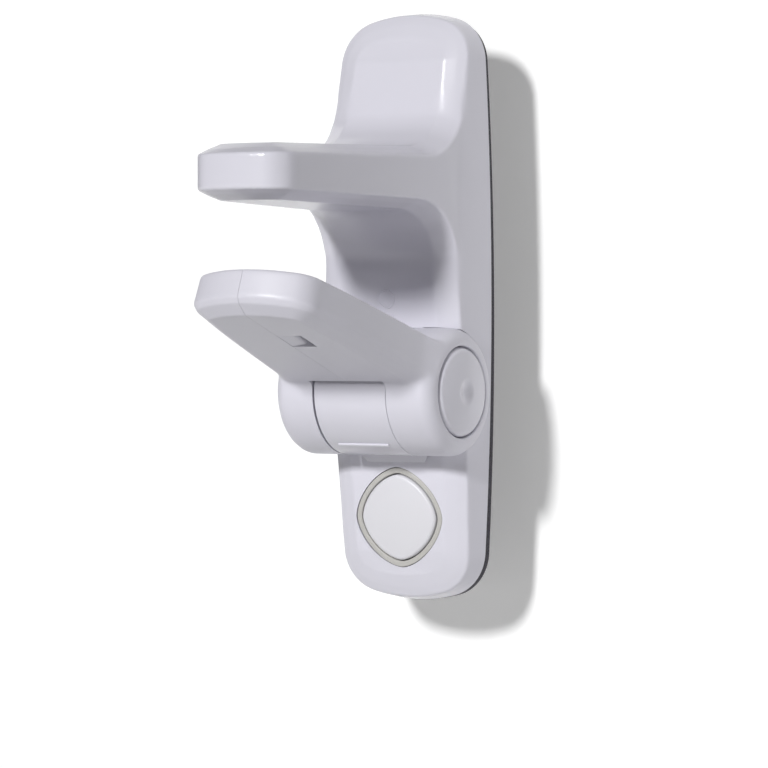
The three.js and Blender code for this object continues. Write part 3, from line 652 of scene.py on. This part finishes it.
def build_housing(shape, material):
    bm = bmesh.new()
    loft_housing(bm, PAD_THICKNESS - HOUSING_OVERRUN, HOUSING_EDGE)
    loft_upper_arm(bm, HOUSING_EDGE)
    shell = new_piece("housing_shell", bm)
    melt(shell, shape.voxel, shape.passes)
    soften(shell, shape.joint_passes, root_weight)
    across, up, back = REAR_TOOL
    rear = -PAD_THICKNESS - PAD_RISE
    seat = DECOY_HALF_DIAGONAL + DECOY_SEAT_GAP
    cut(shell, [
        block("rear_tool", (-across, rear, -up), (across, back, up)),
        pocket_tool(),
        diamond_tool("decoy_tool", seat, -DECOY_CAP_DEPTH - DECOY_ROOM, DECOY_TOOL_TOP),
    ])
    finish_piece(
        shell, "base", material, replaces=("base_housing",), sharp=SHELL_SHARP,
    )


def build_centre_knuckle(material):
    """The housing's own knuckle, open inside for the lock's pieces."""
    face = KNUCKLE_FACE
    inner, outer, floor = JOURNAL_RECESS
    profile = [
        *[
            (face - KNUCKLE_EDGE + rise, KNUCKLE_RADIUS - inward)
            for inward, rise in quarter_round(KNUCKLE_EDGE, 3)
        ],
        (face, outer), (floor, outer), (floor, inner), (face, inner),
        (face, LUG_SPACE[0]), (LUG_SPACE[1], LUG_SPACE[0]),
        (LUG_SPACE[1], SPRING_SPACE[0]), (SPRING_SPACE[1], SPRING_SPACE[0]),
        (SPRING_SPACE[1], PIN_SPACE),
    ]
    loop = [*profile, *[(-x, r) for x, r in reversed(profile)], profile[0]]
    bm = bmesh.new()
    spun(bm, loop, steps=144)
    knuckle = new_piece("centre_knuckle", bm)
    finish_piece(knuckle, "base", material)


# Lower arm


def on_arm(x, l, h):
    return Vector((
        x,
        HINGE.y - l * math.cos(LOWER_ANGLE) + h * math.sin(LOWER_ANGLE),
        HINGE.z + l * math.sin(LOWER_ANGLE) + h * math.cos(LOWER_ANGLE),
    ))


ARM_FRAME = Matrix.Translation(HINGE) @ Matrix.Rotation(math.pi - LOWER_ANGLE, 4, "X")


def blade_ring(height_at, inset, spine=False):
    middle = LOWER_TOP / 2
    start, tip = tip_outline(
        LOWER_REACH - LOWER_TIP_RADIUS, LOWER_TIP_RADIUS, LOWER_CORNER, LOWER_TIP_HALF_WIDTH, inset,
    )
    sides = [*LOWER_SIDES, (start, LOWER_TIP_HALF_WIDTH)]
    points = []

    def add(l, x):
        h = height_at(l)
        lean = LOWER_SIDE_LEAN * (h - middle)
        points.append(on_arm(0 if spine or x == 0 else x - lean, l, h))

    for share in shares(30)[:-1]:
        l = mix(sides[0][0], start, share)
        add(l, smooth_between(sides, l) - inset)
    for x, l in tip:
        add(l, x)
    return points


def loft_blade(bm, edge, top_edge):
    def top(l):
        return LOWER_TOP - LOWER_TOP_SLOPE * l

    rings = [blade_ring(lambda l: LOWER_BOTTOM, LOWER_BEVEL_WIDTH, spine=True)]
    for share in LOWER_BEVEL_SHARES:
        inset = mix(LOWER_BEVEL_WIDTH, edge, share)
        h = LOWER_BOTTOM + LOWER_BEVEL_DROP * (1 - inset / LOWER_BEVEL_WIDTH)
        rings.append(blade_ring(lambda l, h=h: h, inset))
    for inset, rise in reversed(quarter_round(edge, 3)[:-1]):
        h = LOWER_BOTTOM + LOWER_BEVEL_DROP + edge - rise
        rings.append(blade_ring(lambda l, h=h: h, inset))
    for inset, rise in quarter_round(top_edge, 4):
        rings.append(blade_ring(lambda l, r=rise: top(l) - top_edge + r, inset))
    rings.append(blade_ring(top, top_edge, spine=True))
    loft(bm, rings)


def shoulder_weight(point):
    """Where the blade meets the barrel."""
    off = point - HINGE
    outward = Vector((0, -math.cos(LOWER_ANGLE), math.sin(LOWER_ANGLE)))
    radius = math.hypot(off.y, off.z)
    if off.dot(outward) < 0:
        return 0
    return bump(radius, SHOULDER_RADIUS, SHOULDER_REACH)


def build_lower_arm(shape, material):
    bm = bmesh.new()
    loft_blade(bm, LOWER_EDGE, LOWER_TOP_EDGE)
    blade = new_piece("blade", bm)
    fillet = [
        (KNUCKLE_HALF_LENGTH - KNUCKLE_FILLET + rise, KNUCKLE_RADIUS - inward)
        for inward, rise in quarter_round(KNUCKLE_FILLET, 10)
    ]
    bm = bmesh.new()
    profile = [*fillet, (KNUCKLE_HALF_LENGTH, 0)]
    spun(bm, [*[(-x, r) for x, r in reversed(profile)], *profile])
    barrel = new_piece("barrel", bm)
    cut(blade, [barrel], "UNION")
    melt(blade, shape.arm_voxel, shape.passes)
    soften(blade, shape.joint_passes, shoulder_weight)
    cut(blade, [rod("cut_tool", LOWER_CUT_RADIUS, *ARM_FACES)])
    for side, sign in SIDES:
        half = bpy.data.objects.new(f"arm_{side}_shell", blade.data.copy())
        bpy.context.scene.collection.objects.link(half)
        tools = [chamber_tool(sign), shaft_tool(sign), seam_tool(sign)]
        if sign > 0:
            tools.append(window_tool())
        cut(half, tools)
        close_slits(half)
        finish_piece(
            half, "arm", material, replaces=(f"arm_{side}_half",), sharp=SHELL_SHARP,
        )
    drop(blade)


def seam_tool(sign):
    """Takes away the other half of the arm, and half of the seam."""
    far, front, back, low, high = SEAM_TOOL
    return block("seam_tool", *sorted_box((-sign * far, front, low), (sign * LOWER_SEAM / 2, back, high)))


def window_tool():
    start, end, width = WINDOW
    past, below = WINDOW_OVERRUN
    return arm_block("window_tool", (-past, start, -below), (width, end, WINDOW_DEPTH + LOWER_BOTTOM))


def chamber_tool(sign):
    """The button's chamber, flared at its mouth so that the mouth's edge is round."""
    mouth = [
        (KNUCKLE_HALF_LENGTH - CHAMBER_ROUNDING + rise, CHAMBER_RADIUS + inward)
        for inward, rise in quarter_round(CHAMBER_ROUNDING, 4)
    ]
    profile = [
        (WEB_OUTER, 0), (WEB_OUTER, CHAMBER_RADIUS), *mouth, (TOOL_REACH, mouth[-1][1]), (TOOL_REACH, 0),
    ]
    bm = bmesh.new()
    spun(bm, [(sign * along, radius) for along, radius in profile], steps=128)
    return new_piece("chamber_tool", bm)


def sorted_box(a, b):
    return tuple(map(min, a, b)), tuple(map(max, a, b))


def shaft_tool(sign):
    near, far = SHAFT_SPAN
    low = Vector((sign * near, HINGE.y - SHAFT_HALF_SIDE, HINGE.z - SHAFT_HALF_SIDE))
    high = Vector((sign * far, HINGE.y + SHAFT_HALF_SIDE, HINGE.z + SHAFT_HALF_SIDE))
    return block("shaft_tool", *sorted_box(low, high))


def arm_block(name, low, high):
    """A block between two corners given as (x, l, h) on the arm."""
    low, high = (low[0], low[1], -high[2]), (high[0], high[1], -low[2])
    return block(name, low, high, ARM_FRAME)


def build_tongue(material):
    """The left half's tongue in the window, with its outer edges rounded."""
    height = LOWER_BOTTOM + TONGUE_RECESS
    size = (TONGUE[2] + TONGUE_ROOT, TONGUE[1] - TONGUE[0], TONGUE_THICKNESS)
    middle = ((TONGUE[2] - TONGUE_ROOT) / 2, (TONGUE[0] + TONGUE[1]) / 2, -height - TONGUE_THICKNESS / 2)
    bm = bmesh.new()
    bmesh.ops.create_cube(bm, size=1, matrix=box_matrix(middle, size))
    nose = [vert for vert in bm.verts if vert.co.x > 0 and vert.co.z > middle[2]]
    bmesh.ops.translate(bm, vec=(0, 0, -TONGUE_SLOPE), verts=nose)
    edges = [edge for edge in bm.edges if all(vert in nose for vert in edge.verts)]
    round_edges(bm, edges, TONGUE_RAMP, segments=6)
    bmesh.ops.transform(bm, matrix=ARM_FRAME, verts=bm.verts)
    tongue = new_piece("snap_tongue", bm)
    finish_piece(tongue, "arm", material)


# Side buttons


def button_profile():
    def face(radius):
        bowl = 0
        if radius < DIMPLE_RADIUS:
            bowl = DIMPLE_DEPTH * (1 + math.cos(math.pi * radius / DIMPLE_RADIUS)) / 2
        return BUTTON_EDGE + BUTTON_DOME * (1 - (radius / BUTTON_RADIUS) ** 2) - bowl

    flat = BUTTON_RADIUS - BUTTON_ROUNDING
    rows = [(face(flat * share), flat * share) for share in shares(48)[:-1]]
    rounding = [
        (face(flat) - inward, flat + rise) for inward, rise in quarter_round(BUTTON_ROUNDING, 8)
    ]
    bottom = BUTTON_EDGE - BUTTON_SKIRT
    inner = BUTTON_RADIUS - BUTTON_WALL
    inside = BUTTON_EDGE - BUTTON_WALL
    return [*rows, *rounding, (bottom, BUTTON_RADIUS), (bottom, inner), (inside, inner), (inside, 0)]


def build_side_button(side, sign, material):
    bm = bmesh.new()
    spun(bm, [(sign * along, radius) for along, radius in button_profile()], steps=128)
    button = new_piece(f"side_button_{side}_cap", bm)
    finish_piece(button, f"button_{side}", material, replaces=(f"side_button_{side}",))


# Decoy button


def build_decoy_ring(material):
    outer, inner = DECOY_HALF_DIAGONAL, DECOY_HALF_DIAGONAL - DECOY_RING_WIDTH
    top, bottom = -DECOY_RING_RECESS, -DECOY_RING_RECESS - DECOY_RING_HEIGHT
    edge = DECOY_RING_EDGE
    rows = [(outer, bottom)]
    rows += [(outer - inward, top - edge + rise) for inward, rise in quarter_round(edge, 5)]
    rows += [(inner + inward, top - edge + rise) for inward, rise in reversed(quarter_round(edge, 5))]
    rows += [(inner, bottom), (outer, bottom)]
    bm = bmesh.new()
    loft(bm, diamond_rings(rows, closed=False))
    ring = new_piece("decoy_bezel", bm)
    finish_piece(ring, "base", material, replaces=("decoy_ring",))


def build_decoy_cap(material):
    half = DECOY_HALF_DIAGONAL - DECOY_RING_WIDTH - DECOY_GAP
    edge = DECOY_CAP_EDGE
    rows = [(half, -DECOY_CAP_DEPTH)]
    rows += [(half - inward, DECOY_CAP_PROUD - edge + rise) for inward, rise in quarter_round(edge, 6)]
    flat = half - edge
    rows += [
        (flat * (1 - share), DECOY_CAP_PROUD + DECOY_CAP_CROWN * (1 - (1 - share) ** 2))
        for share in shares(14)[1:-1]
    ]
    bm = bmesh.new()
    loft(bm, diamond_rings(rows))
    cap = new_piece("decoy_cap", bm)
    finish_piece(cap, "decoy_button", material, replaces=("decoy_button_cap",))


# Adhesive pad


def build_pad(material):
    def inset(z):
        return mix(*PAD_INSETS, (z / HALF_HEIGHT + 1) / 2)

    def ring(extra, depth, spine=False):
        return outline_ring(lambda z: inset(z) + extra, lambda z: depth, spine)

    inward, rise = PAD_EDGE
    top = PAD_THICKNESS + PAD_RISE
    bm = bmesh.new()
    loft(bm, [
        ring(inward, 0, spine=True), ring(inward, 0), ring(0, rise), ring(0, top - rise),
        ring(inward, top), ring(inward, top, spine=True),
    ])
    pad = new_piece("foam_pad", bm)
    finish_piece(pad, "base", material, replaces=("adhesive_pad",))


# Neck, bar and mould mark


def build_neck(material):
    """Web under the centre knuckle, which ends in a ledge above the lower panel."""
    top, foot = HINGE.z - KNUCKLE_RADIUS, HINGE.z - KNUCKLE_RADIUS - NECK_FOOT
    wide, narrow = NECK_HALF_WIDTHS
    corners = [
        (wide, NECK_FRONTS[0], top), (narrow, NECK_FRONTS[1], foot), (narrow, NECK_REAR, foot),
        (wide, NECK_REAR, top + NECK_TOP), (wide, NECK_FRONTS[0], top + NECK_TOP),
    ]
    bm = bmesh.new()
    face = bm.faces.new([bm.verts.new((-half, -depth, z)) for half, depth, z in corners])
    made = bmesh.ops.extrude_face_region(bm, geom=[face])["geom"]
    moved = [item for item in made if isinstance(item, bmesh.types.BMVert)]
    bmesh.ops.scale(bm, vec=(-1, 1, 1), verts=moved)
    bmesh.ops.recalc_face_normals(bm, faces=bm.faces)
    round_edges(bm, bm.edges, NECK_ROUNDING, segments=3)
    neck = new_piece("knuckle_neck", bm)
    finish_piece(neck, "base", material)


def build_knuckle_bar(material):
    """Low raised bar across the centre knuckle."""
    bm = bmesh.new()
    reach = KNUCKLE_RADIUS + BAR_HEIGHT
    size = (2 * BAR_HALF_WIDTH, reach / 2, BAR_THICKNESS)
    place = Matrix.Translation(HINGE) @ Matrix.Rotation(BAR_ANGLE, 4, "X")
    bmesh.ops.create_cube(bm, size=1, matrix=place @ box_matrix((0, reach * 0.75, 0), size))
    round_edges(bm, bm.edges, BAR_ROUNDING, segments=3)
    bar = new_piece("knuckle_bar", bm)
    finish_piece(bar, "base", material)


def build_gate_mark(material):
    """Faint round witness mark that the mould leaves on the front face."""
    bm = bmesh.new()
    x, z = MARK_PLACE
    outer, inner = MARK_RADIUS, MARK_RADIUS - MARK_LINE
    rows = [
        (outer, -MARK_ROOT), (outer, 0), (outer - MARK_FLANK, MARK_HEIGHT),
        (inner + MARK_FLANK, MARK_HEIGHT), (inner, 0), (inner, -MARK_ROOT),
    ]
    centre = Vector((x, 0, z))
    verts = [bm.verts.new(centre + Vector((radius, -height, 0))) for radius, height in rows]
    edges = [bm.edges.new(pair) for pair in zip(verts, [*verts[1:], verts[0]])]
    bmesh.ops.spin(
        bm, geom=verts + edges, cent=centre, axis=(0, 1, 0), angle=math.tau, steps=48, use_merge=True,
    )
    bmesh.ops.remove_doubles(bm, verts=bm.verts, dist=WELD)
    bmesh.ops.recalc_face_normals(bm, faces=bm.faces)
    slope = (front_face(z + 1) - front_face(z - 1)) / 2
    bmesh.ops.rotate(bm, cent=centre, matrix=Matrix.Rotation(math.atan(slope), 3, "X"), verts=bm.verts)
    bmesh.ops.translate(bm, vec=(0, -front_face(z), 0), verts=bm.verts)
    mark = new_piece("gate_mark", bm)
    finish_piece(mark, "base", material)


# Materials


def new_group(name, inputs, outputs):
    """An empty shader group with named sockets: (group, its input node, its output node)."""
    group = bpy.data.node_groups.new(name, "ShaderNodeTree")
    for label, kind, default in inputs:
        socket = group.interface.new_socket(label, in_out="INPUT", socket_type=f"NodeSocket{kind}")
        if default is not None:
            socket.default_value = default
    for label, kind in outputs:
        group.interface.new_socket(label, in_out="OUTPUT", socket_type=f"NodeSocket{kind}")
    return group, group.nodes.new("NodeGroupInput"), group.nodes.new("NodeGroupOutput")


def add_node(tree, kind, settings=None, **sockets):
    """A node with its settings made and its inputs filled with values or other nodes' outputs."""
    made = tree.nodes.new(f"ShaderNode{kind}")
    for name, value in (settings or {}).items():
        setattr(made, name, value)
    for name, value in sockets.items():
        socket = made.inputs[int(name[1:])] if name[1:].isdigit() else made.inputs[name.replace("_", " ")]
        if isinstance(value, bpy.types.NodeSocket):
            tree.links.new(value, socket)
        else:
            socket.default_value = value
    return made


def around_one(tree, value, amount):
    """A factor that varies round 1 by an amount, as a value goes from 0 to 1."""
    centred = add_node(tree, "Math", {"operation": "SUBTRACT"}, _0=value, _1=0.5)
    return add_node(
        tree, "Math", {"operation": "MULTIPLY_ADD"}, _0=centred.outputs[0], _1=amount, _2=1.0,
    ).outputs[0]


def finish_group(tree, given, result, colour, roughness, height):
    tinted = add_node(tree, "VectorMath", {"operation": "SCALE"}, _0=given.outputs["Colour"], Scale=colour)
    rough = add_node(
        tree, "Math", {"operation": "MULTIPLY"}, _0=given.outputs["Roughness"], _1=roughness,
    )
    tree.links.new(tinted.outputs["Vector"], result.inputs["Colour"])
    tree.links.new(rough.outputs[0], result.inputs["Roughness"])
    tree.links.new(height, result.inputs["Height"])


SURFACE_INPUTS = [
    ("Coordinates", "Vector", None),
    ("Colour", "Color", (0.8, 0.8, 0.8, 1)),
    ("Colour drift", "Float", 0.02),
    ("Roughness", "Float", 0.3),
    ("Roughness drift", "Float", 0.1),
    ("Grain per metre", "Float", 400),
]
SURFACE_OUTPUTS = [("Colour", "Color"), ("Roughness", "Float"), ("Height", "Float")]


def moulded_group():
    """Moulded plastic: a slow drift of tone and gloss, and a fine soft grain."""
    group, given, result = new_group("Moulded plastic", SURFACE_INPUTS, SURFACE_OUTPUTS)
    where = given.outputs["Coordinates"]
    drift = add_node(group, "TexNoise", Vector=where, Scale=22.0, Detail=2.0, Roughness=0.5)
    smear = add_node(group, "TexNoise", Vector=where, Scale=75.0, Detail=3.0, Roughness=0.6)
    grain = add_node(
        group, "TexNoise", Vector=where, Scale=given.outputs["Grain per metre"], Detail=2.0, Roughness=0.55,
    )
    colour = around_one(group, drift.outputs[0], given.outputs["Colour drift"])
    roughness = around_one(group, smear.outputs[0], given.outputs["Roughness drift"])
    finish_group(group, given, result, colour, roughness, grain.outputs[0])
    return group


def foam_group():
    """Cut closed-cell foam: small cells with paler walls."""
    group, given, result = new_group("Cut foam", SURFACE_INPUTS, SURFACE_OUTPUTS)
    where = given.outputs["Coordinates"]
    size = given.outputs["Grain per metre"]
    cells = add_node(group, "TexVoronoi", {"feature": "F1"}, Vector=where, Scale=size)
    walls = add_node(group, "TexVoronoi", {"feature": "DISTANCE_TO_EDGE"}, Vector=where, Scale=size)
    soft = add_node(group, "Math", {"operation": "MINIMUM"}, _0=walls.outputs[0], _1=0.25)
    colour = around_one(group, cells.outputs[0], given.outputs["Colour drift"])
    roughness = around_one(group, cells.outputs[0], given.outputs["Roughness drift"])
    depth = add_node(group, "Math", {"operation": "MULTIPLY"}, _0=soft.outputs[0], _1=-1.0)
    finish_group(group, given, result, colour, roughness, depth.outputs[0])
    return group


def drawn_group():
    """Drawn and plated metal: fine lines along X and cloudy plating."""
    group, given, result = new_group("Drawn metal", SURFACE_INPUTS, SURFACE_OUTPUTS)
    where = given.outputs["Coordinates"]
    stretch = add_node(group, "Mapping", Vector=where, Scale=(0.06, 1.0, 1.0))
    lines = add_node(
        group, "TexNoise", Vector=stretch.outputs[0], Scale=given.outputs["Grain per metre"],
        Detail=3.0, Roughness=0.6,
    )
    cloud = add_node(group, "TexNoise", Vector=where, Scale=120.0, Detail=3.0, Roughness=0.6)
    colour = around_one(group, cloud.outputs[0], given.outputs["Colour drift"])
    roughness = around_one(group, lines.outputs[0], given.outputs["Roughness drift"])
    finish_group(group, given, result, colour, roughness, lines.outputs[0])
    return group


# For each slot: group, colour drift, roughness, its drift, grain per metre, relief in mm, metallic
FINISHES = {
    "housing_white": ("Moulded plastic", 0.025, 0.23, 0.25, 420.0, 0.012, 0),
    "arm_white": ("Moulded plastic", 0.025, 0.4, 0.25, 420.0, 0.012, 0),
    "button_white": ("Moulded plastic", 0.02, 0.2, 0.2, 420.0, 0.01, 0),
    "decoy_white": ("Moulded plastic", 0.02, 0.36, 0.2, 600.0, 0.012, 0),
    "ring_grey": ("Moulded plastic", 0.05, 0.45, 0.2, 1100.0, 0.03, 0),
    "foam_dark": ("Cut foam", 0.9, 0.92, 0.12, 1700.0, 0.25, 0),
    "plate_grey": ("Moulded plastic", 0.06, 0.55, 0.2, 1500.0, 0.06, 0),
    "plunger_cream": ("Moulded plastic", 0.05, 0.42, 0.3, 700.0, 0.02, 0),
    "bearing_white": ("Moulded plastic", 0.04, 0.38, 0.3, 700.0, 0.015, 0),
    "steel": ("Drawn metal", 0.12, 0.3, 0.5, 2600.0, 0.015, 1),
}
GROUP_MAKERS = {"Moulded plastic": moulded_group, "Cut foam": foam_group, "Drawn metal": drawn_group}


def surface(slot_name):
    """The finish of one of the record's slots, made on first use."""
    name = slot_name.replace("_", " ").capitalize()
    if name in bpy.data.materials:
        return bpy.data.materials[name]
    group_name, colour_drift, roughness, rough_drift, grain, relief_depth, metallic = FINISHES[slot_name]
    group = bpy.data.node_groups.get(group_name) or GROUP_MAKERS[group_name]()
    material = bpy.data.materials.new(name)
    material.use_nodes = True
    tree = material.node_tree
    shader = tree.nodes["Principled BSDF"]
    where = add_node(tree, "TexCoord").outputs["Object"]
    finish = add_node(tree, "Group", {"node_tree": group}, Coordinates=where)
    colour = getattr(bpy.context.scene.door_lever_lock, slot_name)
    finish.inputs["Colour"].default_value = (*colour, 1)
    finish.inputs["Colour drift"].default_value = colour_drift
    finish.inputs["Roughness"].default_value = roughness
    finish.inputs["Roughness drift"].default_value = rough_drift
    finish.inputs["Grain per metre"].default_value = grain
    relief = add_node(
        tree, "Bump", Height=finish.outputs["Height"], Strength=1.0, Distance=relief_depth * MM,
    )
    shader.inputs["Metallic"].default_value = metallic
    tree.links.new(finish.outputs["Colour"], shader.inputs["Base Color"])
    tree.links.new(finish.outputs["Roughness"], shader.inputs["Roughness"])
    tree.links.new(relief.outputs["Normal"], shader.inputs["Normal"])
    return material


# Stage


def flat_sheet(name, corners):
    bm = bmesh.new()
    bm.faces.new([bm.verts.new(corner) for corner in corners])
    return new_piece(name, bm)


def backdrop_material(name, paint_level, lift, see_through):
    """Pale paint that keeps shadows, lifted to white where it is looked at but not as a source of light."""
    material = bpy.data.materials.new(name)
    material.use_nodes = True
    tree = material.node_tree
    tree.nodes.remove(tree.nodes["Principled BSDF"])
    output = tree.nodes["Material Output"]
    paint = add_node(tree, "BsdfDiffuse", Color=(paint_level, paint_level, paint_level, 1))
    path = add_node(tree, "LightPath")
    looked_at = path.outputs["Is Camera Ray"]
    for way in ("Is Glossy Ray", "Is Transmission Ray"):
        either = add_node(tree, "Math", {"operation": "MAXIMUM"}, _0=looked_at, _1=path.outputs[way])
        looked_at = either.outputs[0]
    level = add_node(tree, "Math", {"operation": "MULTIPLY"}, _0=looked_at, _1=lift)
    glow = add_node(tree, "Emission", Strength=level.outputs[0])
    shown = add_node(tree, "AddShader", _0=paint.outputs[0], _1=glow.outputs[0])
    if see_through:
        clear = add_node(tree, "BsdfTransparent")
        back = add_node(tree, "NewGeometry").outputs["Backfacing"]
        shown = add_node(tree, "MixShader", Fac=back, _1=shown.outputs[0], _2=clear.outputs[0])
    tree.links.new(shown.outputs[0], output.inputs["Surface"])
    return material


def build_backdrop():
    """The wall is no wider than the light that it throws back on the lock; beyond it the world is white."""
    half, y, low = WALL_HALF_WIDTH, WALL_GAP, FLOOR_HEIGHT
    wall = flat_sheet("wall", [(-half, y, low), (half, y, low), (half, y, WALL_TOP), (-half, y, WALL_TOP)])
    wall.data.materials.append(backdrop_material("Wall", WALL_PAINT, WALL_LIFT, True))
    wall.visible_shadow = False
    far = FLOOR_REACH
    floor = flat_sheet("floor", [(-far, -far, low), (far, -far, low), (far, far, low), (-far, far, low)])
    floor.data.materials.append(backdrop_material("Floor", FLOOR_PAINT, FLOOR_LIFT, False))


def add_lamp(name, direction, distance, size, power, gloss):
    lamp = bpy.data.lights.new(name, "AREA")
    lamp.shape = "ELLIPSE"
    lamp.size, lamp.size_y = size[0] * MM, size[1] * MM
    lamp.energy = power
    holder = bpy.data.objects.new(name, lamp)
    way = Vector(direction).normalized()
    holder.location = (Vector(LAMP_AIM) + way * distance) * MM
    holder.rotation_euler = way.to_track_quat("Z", "Y").to_euler()
    holder.visible_glossy = gloss
    bpy.context.scene.collection.objects.link(holder)


def light_world():
    world = bpy.data.worlds.new("Studio")
    world.use_nodes = True
    tree = world.node_tree
    background = tree.nodes["Background"]
    background.inputs["Color"].default_value = (1, 1, 1, 1)
    path = add_node(tree, "LightPath")
    seen = path.outputs["Is Camera Ray"]
    strength = add_node(tree, "Mix", {"data_type": "FLOAT"}, _0=seen, _2=WORLD_LEVEL, _3=1.0)
    tree.links.new(strength.outputs[0], background.inputs["Strength"])
    bpy.context.scene.world = world


def place_camera():
    camera = bpy.data.cameras.new("Camera")
    camera.sensor_width = SENSOR
    camera.lens = FOCAL_PIXELS * SENSOR / IMAGE_SIZE
    holder = bpy.data.objects.new("Camera", camera)
    turn, lift = CAMERA_AZIMUTH, CAMERA_ELEVATION
    back = Vector((math.sin(turn) * math.cos(lift), -math.cos(turn) * math.cos(lift), math.sin(lift)))
    holder.location = (CAMERA_TARGET + back * CAMERA_DISTANCE) * MM
    holder.rotation_euler = back.to_track_quat("Z", "Y").to_euler()
    bpy.context.scene.collection.objects.link(holder)
    bpy.context.scene.camera = holder


# Settings, operators and panel


def slot_colour(slot_name, label):
    colour = next(item["base_color"] for item in frame["record"]["materials"] if item["slot"] == slot_name)
    return FloatVectorProperty(
        name=label, description=f"Colour of the finish {slot_name}", size=3, subtype="COLOR",
        min=0, max=1, default=colour,
    )


class DoorLeverLockSettings(PropertyGroup):
    """Sizes and colours that a user would change."""

    voxel: FloatProperty(
        name="Skin grid", description="Grid that the shells are melted on", default=0.45 * MM, min=0.3 * MM,
        unit="LENGTH", precision=5,
    )
    arm_voxel: FloatProperty(
        name="Lower arm grid", description="Grid that the lower arm is melted on", default=0.38 * MM,
        min=0.3 * MM, unit="LENGTH", precision=5,
    )
    passes: IntProperty(
        name="Softening", description="Smoothing passes on a melted shell", default=3, min=0, max=60,
    )
    joint_passes: IntProperty(
        name="Joint softening", description="Smoothing passes where two forms meet", default=60, min=0,
        max=200,
    )
    light_level: FloatProperty(
        name="Lamps", description="Level of all the lamps together", default=1, min=0, max=4,
    )
    housing_white: slot_colour("housing_white", "Housing")
    arm_white: slot_colour("arm_white", "Lower arm")
    button_white: slot_colour("button_white", "Side buttons")
    decoy_white: slot_colour("decoy_white", "Decoy cap")
    ring_grey: slot_colour("ring_grey", "Decoy ring")
    foam_dark: slot_colour("foam_dark", "Foam pad")
    plate_grey: slot_colour("plate_grey", "Back plate")
    plunger_cream: slot_colour("plunger_cream", "Plungers")
    bearing_white: slot_colour("bearing_white", "Friction rings")
    steel: slot_colour("steel", "Steel")


class LOCK_OT_housing(Operator):
    """Builds the housing with its upper arm"""

    bl_idname = "lever_lock.housing"
    bl_label = "Housing and Upper Arm"

    def execute(self, context):
        build_housing(context.scene.door_lever_lock, surface("housing_white"))
        build_gate_mark(surface("housing_white"))
        return {"FINISHED"}


class LOCK_OT_centre_knuckle(Operator):
    """Builds the housing's hinge knuckle with its neck and bar"""

    bl_idname = "lever_lock.centre_knuckle"
    bl_label = "Centre Knuckle"

    def execute(self, context):
        white = surface("housing_white")
        build_centre_knuckle(white)
        build_neck(white)
        build_knuckle_bar(white)
        return {"FINISHED"}


class LOCK_OT_lower_arm(Operator):
    """Builds both halves of the swinging arm and the snap tongue"""

    bl_idname = "lever_lock.lower_arm"
    bl_label = "Lower Arm"

    def execute(self, context):
        build_lower_arm(context.scene.door_lever_lock, surface("arm_white"))
        build_tongue(surface("arm_white"))
        return {"FINISHED"}


class LOCK_OT_side_buttons(Operator):
    """Builds the two release buttons in the hinge ends"""

    bl_idname = "lever_lock.side_buttons"
    bl_label = "Side Buttons"

    def execute(self, context):
        for side, sign in SIDES:
            build_side_button(side, sign, surface("button_white"))
        return {"FINISHED"}


class LOCK_OT_decoy_button(Operator):
    """Builds the decoy button's ring and cap"""

    bl_idname = "lever_lock.decoy_button"
    bl_label = "Decoy Button"

    def execute(self, context):
        build_decoy_ring(surface("ring_grey"))
        build_decoy_cap(surface("decoy_white"))
        return {"FINISHED"}


class LOCK_OT_adhesive_pad(Operator):
    """Builds the foam pad behind the housing"""

    bl_idname = "lever_lock.adhesive_pad"
    bl_label = "Adhesive Pad"

    def execute(self, context):
        build_pad(surface("foam_dark"))
        return {"FINISHED"}


class LOCK_OT_inner_pieces(Operator):
    """Gives every piece kept from the frame its finish"""

    bl_idname = "lever_lock.inner_pieces"
    bl_label = "Inner Pieces"

    def execute(self, context):
        for part in frame["record"]["subparts"]:
            mesh = frame["nodes"][part["node"]].data
            mesh.materials.clear()
            mesh.materials.append(surface(part["material_slot"]))
        return {"FINISHED"}


class LOCK_OT_stage(Operator):
    """Adds the wall, floor, lamps, world and camera"""

    bl_idname = "lever_lock.stage"
    bl_label = "Stage"

    def execute(self, context):
        build_backdrop()
        level = context.scene.door_lever_lock.light_level
        for name, (way, distance, size, power, gloss) in LAMPS.items():
            add_lamp(name, way, distance, size, power * level, gloss)
        light_world()
        place_camera()
        context.scene.view_settings.view_transform = "Standard"
        return {"FINISHED"}


PIECES = (
    LOCK_OT_housing, LOCK_OT_centre_knuckle, LOCK_OT_lower_arm, LOCK_OT_side_buttons,
    LOCK_OT_decoy_button, LOCK_OT_adhesive_pad, LOCK_OT_inner_pieces, LOCK_OT_stage,
)


class LOCK_PT_pieces(Panel):
    """Lists the lock's settings and pieces"""

    bl_idname = "LOCK_PT_pieces"
    bl_label = "Door Lever Lock"
    bl_space_type = "VIEW_3D"
    bl_region_type = "UI"
    bl_category = "Lever Lock"

    def draw(self, context):
        settings = context.scene.door_lever_lock
        for name in DoorLeverLockSettings.__annotations__:
            self.layout.prop(settings, name)
        for piece in PIECES:
            self.layout.operator(piece.bl_idname)


CLASSES = (DoorLeverLockSettings, *PIECES, LOCK_PT_pieces)


def register():
    for cls in CLASSES:
        bpy.utils.register_class(cls)
    bpy.types.Scene.door_lever_lock = PointerProperty(type=DoorLeverLockSettings)


def unregister():
    del bpy.types.Scene.door_lever_lock
    for cls in reversed(CLASSES):
        bpy.utils.unregister_class(cls)


def main():
    register()
    for piece in PIECES:
        family, name = piece.bl_idname.split(".")
        getattr(getattr(bpy.ops, family), name)()


if __name__ == "__main__":
    main()
